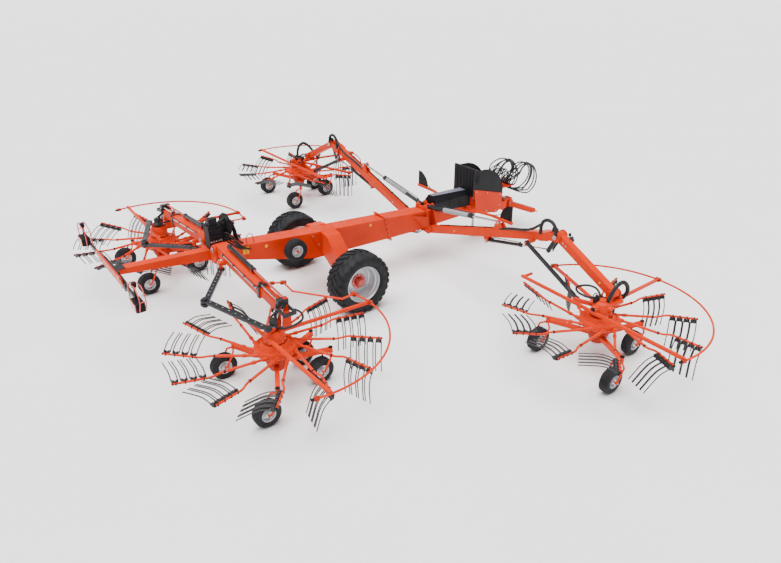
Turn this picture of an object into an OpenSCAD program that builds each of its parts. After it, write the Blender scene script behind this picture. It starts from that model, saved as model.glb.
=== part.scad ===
// Four-rotor rotary rake, trailed, unfolded in its working position.
// The model stands on the ground plane, +X forward, +Y left, +Z up, in millimetres.
// Everything is placed from the main axle and then moved back by origin_shift,
// so that the origin lies under the middle of the machine.

/* [Main wheels] */
// Outer radius over the tread blocks
main_r = 585; // [560:5:600]
// Width of the main tyre
main_w = 490; // [420:10:500]
// From the machine's middle plane to the middle of a main tyre
track_half = 1200; // [1180:5:1260]
// Radius of the main rim at the tyre bead
rim_r = 345; // [300:5:360]
// Height of a tread block
block_h = 22; // [14:1:30]
// Tread blocks in one row round the tyre
block_count = 20; // [14:1:24]

/* [Frame] */
// Width of the main beam
beam_w = 340; // [280:10:360]
// Width of the tail beam
tail_w = 180; // [140:10:200]
// From the main axle back to the end of the tail beam
tail_reach = 3900; // [3850:10:4000]
// From the main axle forward to the hitch pins
hitch_reach = 5600; // [5550:10:5700]
// Half of the distance between the hitch pins
hitch_half = 437; // [400:1:480]
// Height of the hitch pins
hitch_z = 450; // [400:10:520]
// Radius of a hitch pin
hitch_pin_r = 18.3; // [14:0.1:19]
// Width of the drawbar
drawbar_w = 200; // [160:10:220]

/* [Front arms] */
// From the main axle forward to the front arm pivots
front_arm_x = 2550; // [2500:10:2600]
// Square section of the inner front arm
front_arm_w = 150; // [130:5:160]
// Square section of the outer front arm
outer_arm_w = 140; // [120:5:150]
// Barrel diameter of the lift cylinder
lift_d = 90; // [70:2:96]
// Barrel diameter of the knee cylinder
knee_d = 66; // [54:2:76]

/* [Rear arms] */
// From the main axle back to the rear arm pivots
rear_arm_back = 2200; // [2180:10:2240]
// Outer section of the rear arm
rear_arm_w = 180; // [170:5:190]
// Section of the sliding inner tube
slide_w = 140; // [120:5:145]

/* [Front rotors] */
// From the main axle forward to the front rotor axes
front_rotor_x = 2214; // [2180:2:2240]
// From the middle plane to the front rotor axes
front_rotor_y = 4920; // [4900:10:4960]
// Tine arms on a front rotor
front_arms = 11; // [10:1:12]
// Radius over the tine bars of a front rotor
front_bar_r = 1555; // [1540:5:1570]
// Radius of the front guard hoop
front_hoop_r = 1660; // [1650:5:1690]

/* [Rear rotors] */
// From the main axle back to the rear rotor axes
rear_rotor_back = 2394; // [2380:2:2410]
// From the middle plane to the rear rotor axes
rear_rotor_y = 2500; // [2480:10:2540]
// Tine arms on a rear rotor
rear_arms = 12; // [10:1:13]
// Radius over the tine bars of a rear rotor
rear_bar_r = 1620; // [1600:5:1640]
// Radius of the rear guard hoop
rear_hoop_r = 1740; // [1730:5:1760]

/* [Reels] */
// Height of the tine arm tubes above the ground
tube_z = 722; // [715:1:735]
// Diameter of a tine arm tube
tube_d = 44; // [36:1:48]
// Diameter of a tine bar
bar_d = 36; // [30:1:40]
// Offset of the tine bar from its tube
dogleg = 50; // [40:1:60]
// Sweep of the tine bar against the turning direction
bar_sweep = 8; // [4:1:12]
// Double tines on one bar
tine_pairs = 4; // [3:1:5]
// Wire diameter of a tine
tine_d = 10; // [8:0.5:12]
// Reach of a hanging tine below its bar
tine_drop = 580; // [540:5:600]

/* [Rotor wheels] */
// Radius of a rotor wheel
small_r = 215; // [200:1:220]
// Width of a rotor wheel
small_w = 160; // [140:5:170]
// From a rotor wheel's axle forward to its caster pin
caster_trail = 200; // [180:5:220]

/* [Hidden] */

$fn = 48;
orange = "#e2491b";
dark = "#2b2c2f";
steel = "#b9bcc0";
rubber = "#1d1d1f";

// Gap between a pin and its bore, and between sliding faces
fit = 0.3;
// Gap between moving pieces that do not touch
clear = 8;

// The lamps behind the tail beam and the noses of the hitch arms end the machine
lamp_back = 160;
hitch_nose = 60;
origin_shift = (tail_reach + lamp_back - hitch_reach - hitch_nose) / 2;

// A side is -1 on the right and 1 on the left
RIGHT = -1;
LEFT = 1;

// Cheek plates that hold the arm pivots, and their gaps to the arms
front_cheek = 36;
front_gap = front_arm_w / 2 + clear;
rear_cheek = 32;
rear_gap = rear_arm_w / 2 + clear;
beam_front = front_arm_x - front_gap - front_cheek + 6;
beam_back = -rear_arm_back + rear_gap + rear_cheek - 6;
tail_front = -rear_arm_back - rear_gap - rear_cheek + 6;
// Main beam, columns: x, top z, bottom z
beam_stations = [
  [beam_back, 1425, 1200],
  [-1835, 1405, 1140],
  [-310, 1275, 745],
  [1500, 1152, 706],
  [beam_front, 1085, 690],
];
// Tail beam, columns: x, top z, bottom z
tail_stations = [
  [tail_front, 1435, 1250],
  [-tail_reach, 1510, 1420],
];

// Front arm pivots, seen from behind: distance out from the middle plane and height
arm_pivot = [250, 680];
knee = [3644, 1683];
foot = [4870, 1080];
link_top = [3100, 1420];
link_foot = link_top + foot - knee;
lift_pivot = [120, 1140];
lift_eye = [2230, 1480];
knee_pivot = [1950, 1015];
knee_eye = [3480, 1365];
arm_pin_r = 35;
foot_pin_r = 30;
link_pin_r = 18;
cylinder_pin_r = 22;
eye_r = 42;
lever_t = 24;
link_plane = front_arm_x - front_arm_w / 2 - 120;
link_t = 50;
// How much wider an eye is than the bar it ends
eye_proud = 8;
bracket_t = 40;
cheek_t = 30;
arm_dir = (knee - arm_pivot) / norm(knee - arm_pivot);
arm_end = knee - 170 * arm_dir;

// Rear arm: pivot, slope down to the rotor, and lengths along the arm from the pivot
rear_pivot = [250, 1500];
rear_slope = 5;
rear_tube_from = 160;
rear_tube_to = 1650;
slide_from = 900;
slide_to = (rear_rotor_y - rear_pivot[0]) / cos(rear_slope);
rear_barrel_z = 150;
rear_barrel_y = 45;
rear_rod_d = 40;
rear_barrel_d = 72;
// Scissor link under the rear arm, columns: along the arm, forward of it
scissor_root = [330, -150];
scissor_elbow = [1180, -800];
scissor_end = [2370, -330];
scissor_w = 90;
scissor_t = 46;
scissor_top = -rear_arm_w / 2 - 45;

// Rotor carriage
mast_r = 80;
hub_r = 330;
hub_h = 110;
hub_neck_r = 200;
hub_neck_h = 65;
drum_r = 190;
head_r = 165;
drum_from = 350;
caster_z = 555;
head_z = 1040;
saddle_z = 940;
hoop_z = 930;
hoop_d = 34;
guard_d = 46;
guard_rise = 18;
// Casters, columns: forward of the rotor axis, out from it
caster_spots = [[-573, 740], [-573, -740], [605, 270], [605, -330]];
// Cam track: roll of a tine arm by its bearing, columns: bearing, roll
cam_track = [[0, 0], [60, 0], [125, 86], [220, 86], [280, 0], [360, 0]];
rear_phase = 114.5;
front_phase = 87;
tube_lead = 225;
tube_from = 150;
dogleg_from = 940;
dogleg_to = 1075;
coil_d = 64;
coil_w = 96;
first_tine = 110;
last_tine_inset = 52;

// Moves the axle-based model over the origin
module placed() {
  translate([origin_shift, 0, 0]) children();
}

// Turns what is drawn on the right into the chosen side
module on_side(side) {
  if (side == RIGHT) children();
  else mirror([0, 1, 0]) children();
}

// Round bar between two points
module bar(from, to, d, sides = 24) {
  v = to - from;
  len = norm(v);
  translate(from)
    rotate([0, acos(v[2] / len), atan2(v[1], v[0])])
      cylinder(h = len, d = d, $fn = sides);
}

// Box section between two points, w across and h deep
module box(from, to, w, h) {
  v = to - from;
  len = norm(v);
  translate(from)
    rotate([0, -asin(v[2] / len), atan2(v[1], v[0])])
      translate([0, -w / 2, -h / 2])
        cube([len, w, h]);
}

// Flat plate drawn as out and height on the right side, from x to x + t
module cross_plate(x, t) {
  translate([x, 0, 0])
    rotate([90, 0, -90])
      mirror([0, 0, 1])
        linear_extrude(t) children();
}

// Plate drawn as x and height, centred on y
module side_plate(y, t) {
  translate([0, y + t / 2, 0])
    rotate([90, 0, 0])
      linear_extrude(t) children();
}

// Pin or boss along x on the right side, at out and height
module cross_pin(p, r, x_from, x_to) {
  translate([x_from, -p[0], p[1]])
    rotate([0, 90, 0])
      cylinder(h = x_to - x_from, r = r);
}

// Outline of a beam from its stations
module beam_outline(stations) {
  last = len(stations) - 1;
  polygon(concat(
    [for (s = stations) [s[0], s[1]]],
    [for (i = [last:-1:0]) [stations[i][0], stations[i][2]]]
  ));
}

// Rounded rectangle in the half plane of a revolve
module tyre_section(inner, outer, w, full_corner) {
  corner = min(full_corner, (outer - inner) / 2 - 2);
  translate([inner, -w / 2 + corner]) square([outer - inner, w - 2 * corner]);
  translate([inner + corner, -w / 2]) square([outer - inner - 2 * corner, w]);
  for (r = [inner + corner, outer - corner], y = [-1, 1])
    translate([r, y * (w / 2 - corner)]) circle(corner);
}

module main_frame() {
  color(orange) placed() {
    side_plate(0, beam_w) beam_outline(beam_stations);
    side_plate(0, tail_w) beam_outline(tail_stations);
    rear_pivot_block();
    front_pivot_block();
    drawbar();
    for (side = [RIGHT, LEFT]) on_side(side) axle_leg();
    spare_bracket();
    side_plate(0, beam_w + 2 * flange_proud) polygon([[1330, 1215], [1375, 1212], [1530, 655], [1485, 655]]);
  }
}

spare_at = [-870, 470, 1180];
// Bolted flange round the beam ahead of the axle
flange_proud = 22;

module spare_bracket() {
  translate([spare_at[0], -spare_at[1] - small_w / 2 - 20, spare_at[2]])
    rotate([-90, 0, 0])
      cylinder(h = spare_at[1] + small_w / 2 + 20 - beam_w / 2 + 5, r = 22);
}

// Leg from the beam down and out to a stub axle
module axle_leg() {
  leg_in = beam_w / 2 - 20;
  leg_out = track_half - main_w / 2 - 40;
  stub_r = 45;
  translate([-150, 0, 0])
    cross_plate(0, 300)
      polygon([
        [leg_in, 1260], [leg_in + 230, 1230], [leg_out, main_r + 140],
        [leg_out, main_r - 130], [leg_out - 170, main_r - 110], [leg_in, 840],
      ]);
  translate([0, -leg_out + 5, main_r])
    rotate([90, 0, 0])
      cylinder(h = track_half - leg_out + 60, r = stub_r);
}

// Bottom of the rear pivot block, and its top between the pivots
rear_block_z = 1230;
rear_saddle_z = 1435;

module rear_pivot_block() {
  x = -rear_arm_back;
  reach = rear_gap + rear_cheek + 20;
  for (from = [x - rear_gap - rear_cheek, x + rear_gap])
    cross_plate(from, rear_cheek) rear_pivot_outline();
  translate([x - rear_gap - 5, -130, rear_block_z]) cube([2 * rear_gap + 10, 260, rear_saddle_z - rear_block_z]);
  for (side = [RIGHT, LEFT])
    on_side(side) cross_pin(rear_pivot, arm_pin_r, x - reach, x + reach);
}

module rear_pivot_outline() {
  eye = 85;
  neck = 150;
  translate([-rear_pivot[0], rear_block_z]) square([2 * rear_pivot[0], rear_saddle_z - rear_block_z]);
  for (s = [-1, 1]) {
    translate([s * rear_pivot[0], rear_pivot[1]]) circle(eye);
    translate([s * rear_pivot[0] - neck / 2, 1300]) square([neck, rear_pivot[1] - 1300]);
  }
}

module front_pivot_block() {
  x = front_arm_x;
  reach = front_gap + front_cheek + 18;
  for (from = [x - front_gap - front_cheek, x + front_gap])
    cross_plate(from, front_cheek) front_pivot_outline();
  translate([x - front_gap - 5, -115, 640]) cube([2 * front_gap + 10, 230, 400]);
  for (side = [RIGHT, LEFT]) on_side(side) {
    cross_pin(arm_pivot, arm_pin_r, x - reach, x + reach);
    cross_pin(lift_pivot, cylinder_pin_r, x - reach, x + reach);
  }
}

module front_pivot_outline() {
  for (s = [-1, 1]) {
    translate([s * arm_pivot[0], arm_pivot[1]]) circle(85);
    translate([s * lift_pivot[0], lift_pivot[1]]) circle(60);
  }
  polygon([
    [-arm_pivot[0] - 10, arm_pivot[1] - 70], [arm_pivot[0] + 10, arm_pivot[1] - 70],
    [arm_pivot[0] + 50, arm_pivot[1] + 50], [lift_pivot[0] + 46, lift_pivot[1] + 10],
    [-lift_pivot[0] - 46, lift_pivot[1] + 10], [-arm_pivot[0] - 50, arm_pivot[1] + 50],
  ]);
}

// Yaw pivot of the headstock at the nose of the drawbar
yaw_x = hitch_reach - 650;
yaw_z = 650;
yaw_h = 200;
yaw_pin_r = 40;
// Level top of the drawbar's nose, under the headstock's upper plate
nose_flat = 160;

// The drawbar's back end, and the bend where it starts to drop to its nose
drawbar_from = front_arm_x + front_gap + front_cheek - 6;
drawbar_bend = hitch_reach - 2037;
drawbar_top = [1010, 940];

// Height of the drawbar's top behind the bend
function drawbar_top_at(x) =
  drawbar_top[0] + (drawbar_top[1] - drawbar_top[0]) * (x - drawbar_from) / (drawbar_bend - drawbar_from);

module drawbar() {
  side_plate(0, drawbar_w)
    polygon([
      [drawbar_from, drawbar_top[0]], [drawbar_bend, drawbar_top[1]],
      [yaw_x - nose_flat, yaw_z + yaw_h / 2], [yaw_x - 10, yaw_z + yaw_h / 2],
      [yaw_x - 10, yaw_z - yaw_h / 2], [drawbar_bend, 700], [drawbar_from, 680],
    ]);
  translate([yaw_x, 0, yaw_z - yaw_h / 2]) cylinder(h = yaw_h, r = 85);
  translate([yaw_x, 0, yaw_z - yaw_h / 2 - 60]) cylinder(h = yaw_h + 120, r = yaw_pin_r);
  hose_rack();
  for (side = [RIGHT, LEFT]) on_side(side) marker_arm();
}

rack_x = yaw_x - 180;
rack_z = 1150;

module hose_rack() {
  translate([rack_x - 40, -60, yaw_z]) cube([80, 120, rack_z - yaw_z]);
  translate([rack_x - 300, -190, rack_z - 20]) cube([560, 380, 20]);
}

marker_x = hitch_reach - 1980;
marker_z = 985;

marker_in = 1000;
marker_out = 1560;
marker_bar = 50;

// Bar out from the drawbar that ends level under its marker plate
module marker_arm() {
  z = marker_z - marker_bar / 2;
  box([marker_x, -drawbar_w / 2 + 10, 860], [marker_x, -marker_in, z], marker_bar - eye_proud, marker_bar);
  box([marker_x, -marker_in + 15, z], [marker_x, -marker_out, z], marker_bar, marker_bar);
}

module marker_plates() {
  r = 330;
  plate_t = 12;
  color(dark) placed()
    for (side = [RIGHT, LEFT]) on_side(side)
      cross_plate(marker_x - plate_t / 2, plate_t)
        translate([marker_out - 20, marker_z])
          intersection() {
            circle(r);
            translate([-r, 0]) square(r);
          }
}

module headstock() {
  plate_t = 30;
  top = yaw_z + yaw_h / 2;
  low = yaw_z - yaw_h / 2;
  color(orange) placed() {
    difference() {
      union() {
        for (z = [top + 2, low - 2 - plate_t]) {
          translate([yaw_x, 0, z]) cylinder(h = plate_t, r = 90);
          translate([yaw_x, -84, z]) cube([180, 168, plate_t]);
        }
      }
      translate([yaw_x, 0, low - 100]) cylinder(h = yaw_h + 200, r = yaw_pin_r + fit);
    }
    translate([yaw_x + 120, -90, low - 2 - plate_t]) cube([80, 180, yaw_h + 2 * plate_t + 4]);
    for (side = [RIGHT, LEFT]) on_side(side) hitch_arm();
  }
}

module hitch_arm() {
  cheek = 36;
  box([yaw_x + 160, -50, yaw_z - 20], [hitch_reach - 20, -hitch_half + 70, hitch_z], 90, 120);
  translate([hitch_reach, -hitch_half + 70 + cheek, hitch_z])
    rotate([90, 0, 0])
      cylinder(h = 2 * cheek, r = hitch_nose);
  translate([hitch_reach, -hitch_half + 70, hitch_z])
    rotate([90, 0, 0])
      cylinder(h = 130, r = hitch_pin_r);
}

module driveline_cover() {
  from_x = drawbar_from + 34;
  top = [1330, 1290];
  to_x = hood_x + 40;
  color(dark) placed() {
    intersection() {
      side_plate(0, cover_w)
        polygon([[from_x, drawbar_top_at(from_x)], [from_x, top[0]], [to_x, top[1]], [to_x, drawbar_top[1]],
          [drawbar_bend, drawbar_top[1]]]);
      translate([from_x - 10, 0, 0])
        rotate([90, 0, 90])
          linear_extrude(to_x - from_x + 20)
            polygon([
              [-cover_w / 2, 600], [cover_w / 2, 600], [cover_w / 2, top[1] - 90], [cover_w / 2 - 110, top[0] + 5],
              [110 - cover_w / 2, top[0] + 5], [-cover_w / 2, top[1] - 90],
            ]);
    }
    for (s = [-1, 1])
      side_plate(s * hood_half, hood_t) hood_outline();
    translate([hood_x - 20, -hood_half - hood_t / 2, hood_low]) cube([40, 2 * hood_half + hood_t, 1800 - hood_low]);
    translate([hood_x + 10, -hood_half - hood_t / 2, 1690]) cube([230, 2 * hood_half + hood_t, 20]);
  }
}

hood_x = hitch_reach - 1945;
hood_half = 300;
hood_t = 20;
cover_w = 360;
// Bottom of the hood's back plate
hood_low = 1180;
// The seam between hood and shield, at the back and at the front
seam = [1350, 1090];
shield_len = 920;
// Back edge of the shield, clear of the hood's back plate
shield_from = 26;

function seam_at(run) = seam[0] + (seam[1] - seam[0]) * run / shield_len;

// Side of the hood: a quarter round over the seam
module hood_outline() {
  intersection() {
    polygon([[hood_x, seam[0]], [hood_x + shield_len, seam[1]], [hood_x + shield_len, 1740], [hood_x, 1740]]);
    union() {
      translate([hood_x + 280, 1090]) circle(640, $fn = 96);
      translate([hood_x, seam[1]]) square([300, 650]);
    }
  }
}

module shield_outline() {
  polygon([[hood_x + shield_from, seam_at(shield_from)], [hood_x + shield_len, seam[1]], [hood_x + shield_len, 760],
    [hood_x + 780, 640], [hood_x + 120, 770]]);
}

module front_shield() {
  color(orange) placed() {
    for (s = [-1, 1]) side_plate(s * hood_half, hood_t + 4) shield_outline();
    for (s = [-1, 1])
      translate([hood_x + 300, s > 0 ? drawbar_w / 2 : -hood_half, 780]) cube([80, hood_half - drawbar_w / 2, 60]);
  }
}

module hose_bundle() {
  hoses = 6;
  hose_d = 24;
  color(dark) placed()
    for (i = [0:hoses - 1]) {
      y = (i - (hoses - 1) / 2) * 58;
      r = 200 + 18 * (i % 3);
      top = rack_z + 150 + 40 * (i % 2);
      x = rack_x - 20;
      translate([x, y, top])
        rotate([90, 0, 0])
          rotate_extrude(angle = 180)
            translate([r, 0]) circle(d = hose_d);
      for (s = [-1, 1]) translate([x + s * r, y, rack_z]) cylinder(h = top - rack_z, d = hose_d);
    }
}

module hydraulic_block() {
  color(dark) placed() {
    translate([-rear_arm_back - 120, -110, rear_saddle_z]) cube([230, 220, 430]);
    translate([-rear_arm_back - 90, -90, rear_saddle_z + 420]) cube([150, 70, 130]);
    translate([-rear_arm_back - 60, 20, rear_saddle_z + 420]) cube([120, 70, 100]);
    translate([-rear_arm_back + 100, -80, rear_saddle_z + 20]) cube([120, 160, 340]);
    translate([-rear_arm_back + 210, 0, rear_saddle_z + 360])
      rotate([0, 90, 0]) cylinder(h = 60, r = 200);
  }
}

module rear_light_bar() {
  board_half = 660;
  board_tilt = 12;
  board_h = 250;
  lamp_out = 1455;
  lamp_half = 125;
  lamp_z = 1450;
  stalk_top = 1860;
  color(orange) placed() {
    translate([-tail_reach - 50, -board_half - 60, 1425]) cube([50, 2 * board_half + 120, 90]);
    translate([-tail_reach - 30, 0, 1395])
      rotate([0, -board_tilt, 0])
        translate([-24, -board_half, 0]) cube([24, 2 * board_half, board_h]);
    for (s = [-1, 1]) {
      translate([-tail_reach - 55, s > 0 ? board_half - 20 : -lamp_out, 1440])
        cube([40, lamp_out - board_half + 20, 60]);
      translate([-tail_reach - lamp_back, s * lamp_out - lamp_half, lamp_z])
        cube([lamp_back - 30, 2 * lamp_half, 140]);
      translate([-tail_reach - 90, s * (lamp_out - 60), lamp_z + 130]) cylinder(h = stalk_top - lamp_z - 130, r = 18);
      translate([-tail_reach - 90, s * (lamp_out - 60), stalk_top - 80]) cylinder(h = 80, r = 32);
    }
  }
}

module parking_stand() {
  x = hitch_reach - 1450;
  y = drawbar_w / 2 + 60;
  color(steel) placed() {
    translate([x, y, 0]) cylinder(h = 16, r = 120);
    translate([x, y, 10]) cylinder(h = 600, r = 30);
    translate([x, y, 500]) cylinder(h = 560, r = 42);
    translate([x - 40, drawbar_w / 2, 760]) cube([80, 60, 90]);
  }
}

module main_tyre(side) {
  carcass_r = main_r - block_h;
  block_l = 76;
  block_w = main_w * 0.36;
  slant = 25;
  block_reach = block_l / 2 * cos(slant) + block_w / 2 * sin(slant);
  top_r = sqrt(main_r * main_r - block_reach * block_reach);
  color(rubber) placed()
    translate([0, side * track_half, main_r])
      rotate([90, 0, 0]) {
        rotate_extrude() tyre_section(rim_r, carcass_r, main_w, 70);
        for (row = [-1, 1], i = [0:block_count - 1])
          rotate([0, 0, (i + (row + 1) / 4) * 360 / block_count])
            translate([carcass_r - 15, 0, row * main_w * 0.22])
              rotate([row * slant, 0, 0])
                translate([0, -block_l / 2, -block_w / 2])
                  cube([top_r - carcass_r + 15, block_l, block_w]);
      }
}

module main_rim(side) {
  rim_w = main_w - 120;
  dish = 150;
  color(steel) placed()
    translate([0, side * track_half, main_r])
      rotate([-90 * side, 0, 0])
        rotate_extrude()
          polygon([
            [45 + fit, -30], [120, -30], [120, -60], [rim_r - 60, -90], [rim_r - 25, -rim_w / 2],
            [rim_r - fit, -rim_w / 2], [rim_r - fit, rim_w / 2], [rim_r - 22, rim_w / 2],
            [rim_r - 50, 0], [rim_r - 110, -20], [140, dish - 150], [120, dish - 60], [45 + fit, dish - 60],
          ]);
}

module small_wheel_solid(bore_r) {
  rotate_extrude() {
    difference() {
      tyre_section(95, small_r, small_w, 34);
      translate([0, small_w / 2 - 12]) square([101, 40]);
    }
    translate([bore_r, -small_w / 2 + 18]) square([35, small_w - 36]);
    translate([bore_r, -14]) square([100, 28]);
  }
}

small_axle_r = 12;

module spare_wheel() {
  color(rubber) placed()
    translate([spare_at[0], -spare_at[1], spare_at[2]])
      rotate([90, 0, 0]) small_wheel_solid(22 + fit);
}

// Rotor wheel number i (1 to 4) about the rotor axis at x, out
module rotor_wheel(side, x, out, i) {
  spot = caster_spots[i - 1];
  color(rubber) placed()
    translate([x + spot[0], side * (out + spot[1]), small_r])
      rotate([90, 0, 0]) small_wheel_solid(small_axle_r + fit);
}

// Fork, caster pin and leg of one rotor wheel, drawn round the rotor axis on the right
module caster(spot) {
  fork_y = small_w / 2 + 12 + 16;
  fork_d = 32;
  y = -spot[1];
  pin = [spot[0] + caster_trail, y];
  crown_z = small_r + 275;
  translate([spot[0], y + fork_y + 16, small_r])
    rotate([90, 0, 0]) cylinder(h = 2 * fork_y + 32, r = small_axle_r);
  for (s = [-1, 1]) {
    elbow = [spot[0] + 130, y + s * fork_y, small_r + 215];
    bar([spot[0], y + s * fork_y, small_r - 14], elbow, fork_d, 12);
    bar(elbow, [pin[0], y, crown_z], fork_d, 12);
    translate([spot[0], y + s * fork_y + 18, small_r]) rotate([90, 0, 0]) cylinder(h = 36, r = 24);
  }
  translate([pin[0], pin[1], crown_z - 25]) cylinder(h = caster_z - crown_z + 25, r = 34);
  box([0, 0, 470], [pin[0], pin[1], caster_z - 40], 70, 64);
}

// What both kinds of carriage share: mast, drum, casters, gear head
module carriage_core() {
  drum_top = tube_z - hub_h / 2 - 2;
  head_from = tube_z + hub_h / 2 + hub_neck_h + 15;
  rotate_extrude() {
    polygon([[0, drum_from], [drum_r - 80, drum_from], [drum_r, drum_top - 120], [drum_r, drum_top], [0, drum_top]]);
    polygon([[0, head_from], [head_r, head_from], [head_r, saddle_z + 20], [head_r - 30, head_z], [0, head_z]]);
  }
  translate([0, 0, drum_from]) cylinder(h = head_z - drum_from, r = mast_r);
  for (spot = caster_spots) caster(spot);
}

// Straight guard tube behind the rotor axis, from an inner point to the hoop
module guard_tube(from, to, d = guard_d) {
  z = hoop_z + guard_rise;
  box([from[0], from[1], z], [to[0], to[1], z], d, d);
}

// Guard arm out to the hoop at a bearing
module guard_arm(bearing, r) {
  rotate(bearing) box([100, 0, hoop_z + 40], [r, 0, hoop_z], guard_d, guard_d);
}

module hoop_arc(from, to, r) {
  rotate(from)
    translate([0, 0, hoop_z])
      rotate_extrude(angle = to - from, $fn = 240)
        translate([r, 0]) circle(d = hoop_d, $fn = 24);
}

function polar(r, bearing, z) = [r * cos(bearing), r * sin(bearing), z];

// Straight piece of a hoop, run a little past both of its corners
module hoop_bar(from, to) {
  past = hoop_d * 0.4 * (to - from) / norm(to - from);
  bar(from - past, to + past, hoop_d);
}

module carriage_rear(side) {
  // Corners where the rear hoop steps in round the arm
  inset = [
    polar(rear_hoop_r, 372.8, hoop_z), polar(rear_hoop_r - 260, 374, hoop_z),
    polar(rear_hoop_r - 320, 410, hoop_z), polar(rear_hoop_r, 417.2, hoop_z),
  ];
  color(orange) placed() on_side(side)
    translate([-rear_rotor_back, -rear_rotor_y, 0]) {
      carriage_core();
      guard_tube([-150, 567], [-91, -rear_hoop_r]);
      guard_arm(0, rear_hoop_r);
      hoop_arc(259, 373, rear_hoop_r);
      for (i = [0:2]) hoop_bar(inset[i], inset[i + 1]);
      hoop_arc(417, 425, rear_hoop_r);
      translate([-60, -75, head_z - 40]) cube([rear_rotor_back - rear_arm_back + 140, 150, 40]);
    }
}

// Inner end of the front guard tube, where it turns forward
front_inner_guard = 1584;

module carriage_front(side) {
  offset_x = front_arm_x - front_rotor_x;
  out = foot[0] - front_rotor_y;
  gap = outer_arm_w / 2 + clear;
  color(orange) placed() on_side(side)
    translate([front_rotor_x, -front_rotor_y, 0]) {
      carriage_core();
      guard_tube([-170, front_inner_guard], [-262, -front_hoop_r + 20]);
      guard_tube([-176, front_inner_guard - 40], [40, front_inner_guard - 47], guard_d - eye_proud);
      translate([-230, -60, hoop_z - 16]) cube([110, 120, 50]);
      guard_arm(3, front_hoop_r);
      guard_arm(68, front_hoop_r);
      hoop_arc(258.6, 428, front_hoop_r);
      translate([-60, -90, saddle_z]) cube([offset_x + 60 + gap + cheek_t, 180, 50]);
      for (x = [offset_x - gap - cheek_t, offset_x + gap]) {
        translate([x, -out - 70, saddle_z]) cube([cheek_t, 140, foot[1] - saddle_z]);
        translate([0, front_rotor_y, 0]) cross_pin(foot, 78, x, x + cheek_t);
      }
      translate([0, front_rotor_y, 0]) {
        cross_pin(foot, foot_pin_r, offset_x - gap - cheek_t - 10, offset_x + gap + cheek_t + 10);
        translate([-front_rotor_x, 0, 0]) link_bracket();
      }
    }
}

// Arm from the gear head in to the foot of the parallel link
module link_bracket() {
  x = link_plane - link_t / 2 - clear - bracket_t / 2;
  root = [x, -front_rotor_y + 60, link_foot[1] + 105];
  box(root, [x, -link_foot[0], link_foot[1]], bracket_t - eye_proud, 76);
  cross_pin(link_foot, 42, x - bracket_t / 2, x + bracket_t / 2);
  cross_pin(link_foot, link_pin_r, x, link_plane + link_t / 2 + 12);
}

module tine(s) {
  bend = [s, -75, -tine_drop * 0.5];
  tip = [s, -55, -tine_drop];
  bar([s, 0, -20], bend, tine_d, 6);
  bar([s, bend[1] + 3, bend[2] + 11], tip, tine_d - 1, 6);
}

// One tine arm along +X, rolled about its tube
module tine_arm(roll, bar_r) {
  bar_len = (bar_r - dogleg_to) / cos(bar_sweep);
  pitch = (bar_len - last_tine_inset - first_tine) / (tine_pairs - 1);
  translate([0, tube_lead, tube_z])
    rotate([-roll, 0, 0]) {
      translate([tube_from, 0, 0])
        rotate([0, 90, 0]) cylinder(h = dogleg_from - tube_from, d = tube_d, $fn = 12);
      bar([dogleg_from - 12, 0, -8], [dogleg_to + 10, 0, dogleg + 4], bar_d + 2, 12);
      translate([dogleg_to, 0, dogleg])
        rotate([0, 0, -bar_sweep]) {
          rotate([0, 90, 0]) cylinder(h = bar_len, d = bar_d, $fn = 12);
          for (i = [0:tine_pairs - 1]) {
            s = first_tine + i * pitch;
            translate([s - coil_w / 2, 0, -26]) rotate([0, 90, 0]) cylinder(h = coil_w, d = coil_d, $fn = 8);
            for (e = [-1, 1]) tine(s + e * (coil_w / 2 - tine_d));
          }
        }
    }
}

// Half section of a hub: rim round the tine arms, sloping up to the neck under the gear head
module hub_outline() {
  low = tube_z - hub_h / 2;
  high = tube_z + hub_h / 2;
  bevel = 60;
  rim = 25;
  polygon([
    [0, low], [hub_r - bevel, low], [hub_r, tube_z - rim], [hub_r, tube_z + rim], [hub_r - bevel, high],
    [hub_neck_r + 25, high + 12], [hub_neck_r, high + hub_neck_h], [0, high + hub_neck_h],
  ]);
}

// Reel on the right side, turning anticlockwise seen from above
module reel(count, phase, bar_r) {
  difference() {
    union() {
      rotate_extrude() hub_outline();
      for (i = [0:count - 1]) {
        bearing = (phase + i * 360 / count) % 360;
        rotate(bearing) tine_arm(lookup(bearing, cam_track), bar_r);
      }
    }
    translate([0, 0, tube_z - 200]) cylinder(h = 400, r = mast_r + fit);
  }
}

module reel_rear(side) {
  color(orange) placed() on_side(side)
    translate([-rear_rotor_back, -rear_rotor_y, 0]) reel(rear_arms, rear_phase, rear_bar_r);
}

module reel_front(side) {
  color(orange) placed() on_side(side)
    translate([front_rotor_x, -front_rotor_y, 0]) reel(front_arms, front_phase, front_bar_r);
}

// Out and height as a point in the plane of the front arms
function front_at(p) = [front_arm_x, -p[0], p[1]];

// One lug plate of the inner arm for the lift cylinder's eye and one for the knee cylinder's foot
module arm_lugs(x, t) {
  cross_pin(lift_eye, 50, x, x + t);
  cross_plate(x, t)
    polygon([lift_eye + [-50, 0], lift_eye + [50, 0], lift_eye + [150, -130], lift_eye + [-150, -220]]);
  cross_pin(knee_pivot, 42, x, x + t);
  cross_plate(x, t)
    polygon([knee_pivot + [-40, 0], knee_pivot + [40, 0], knee_pivot + [70, 150], knee_pivot + [-90, 120]]);
}

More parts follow.
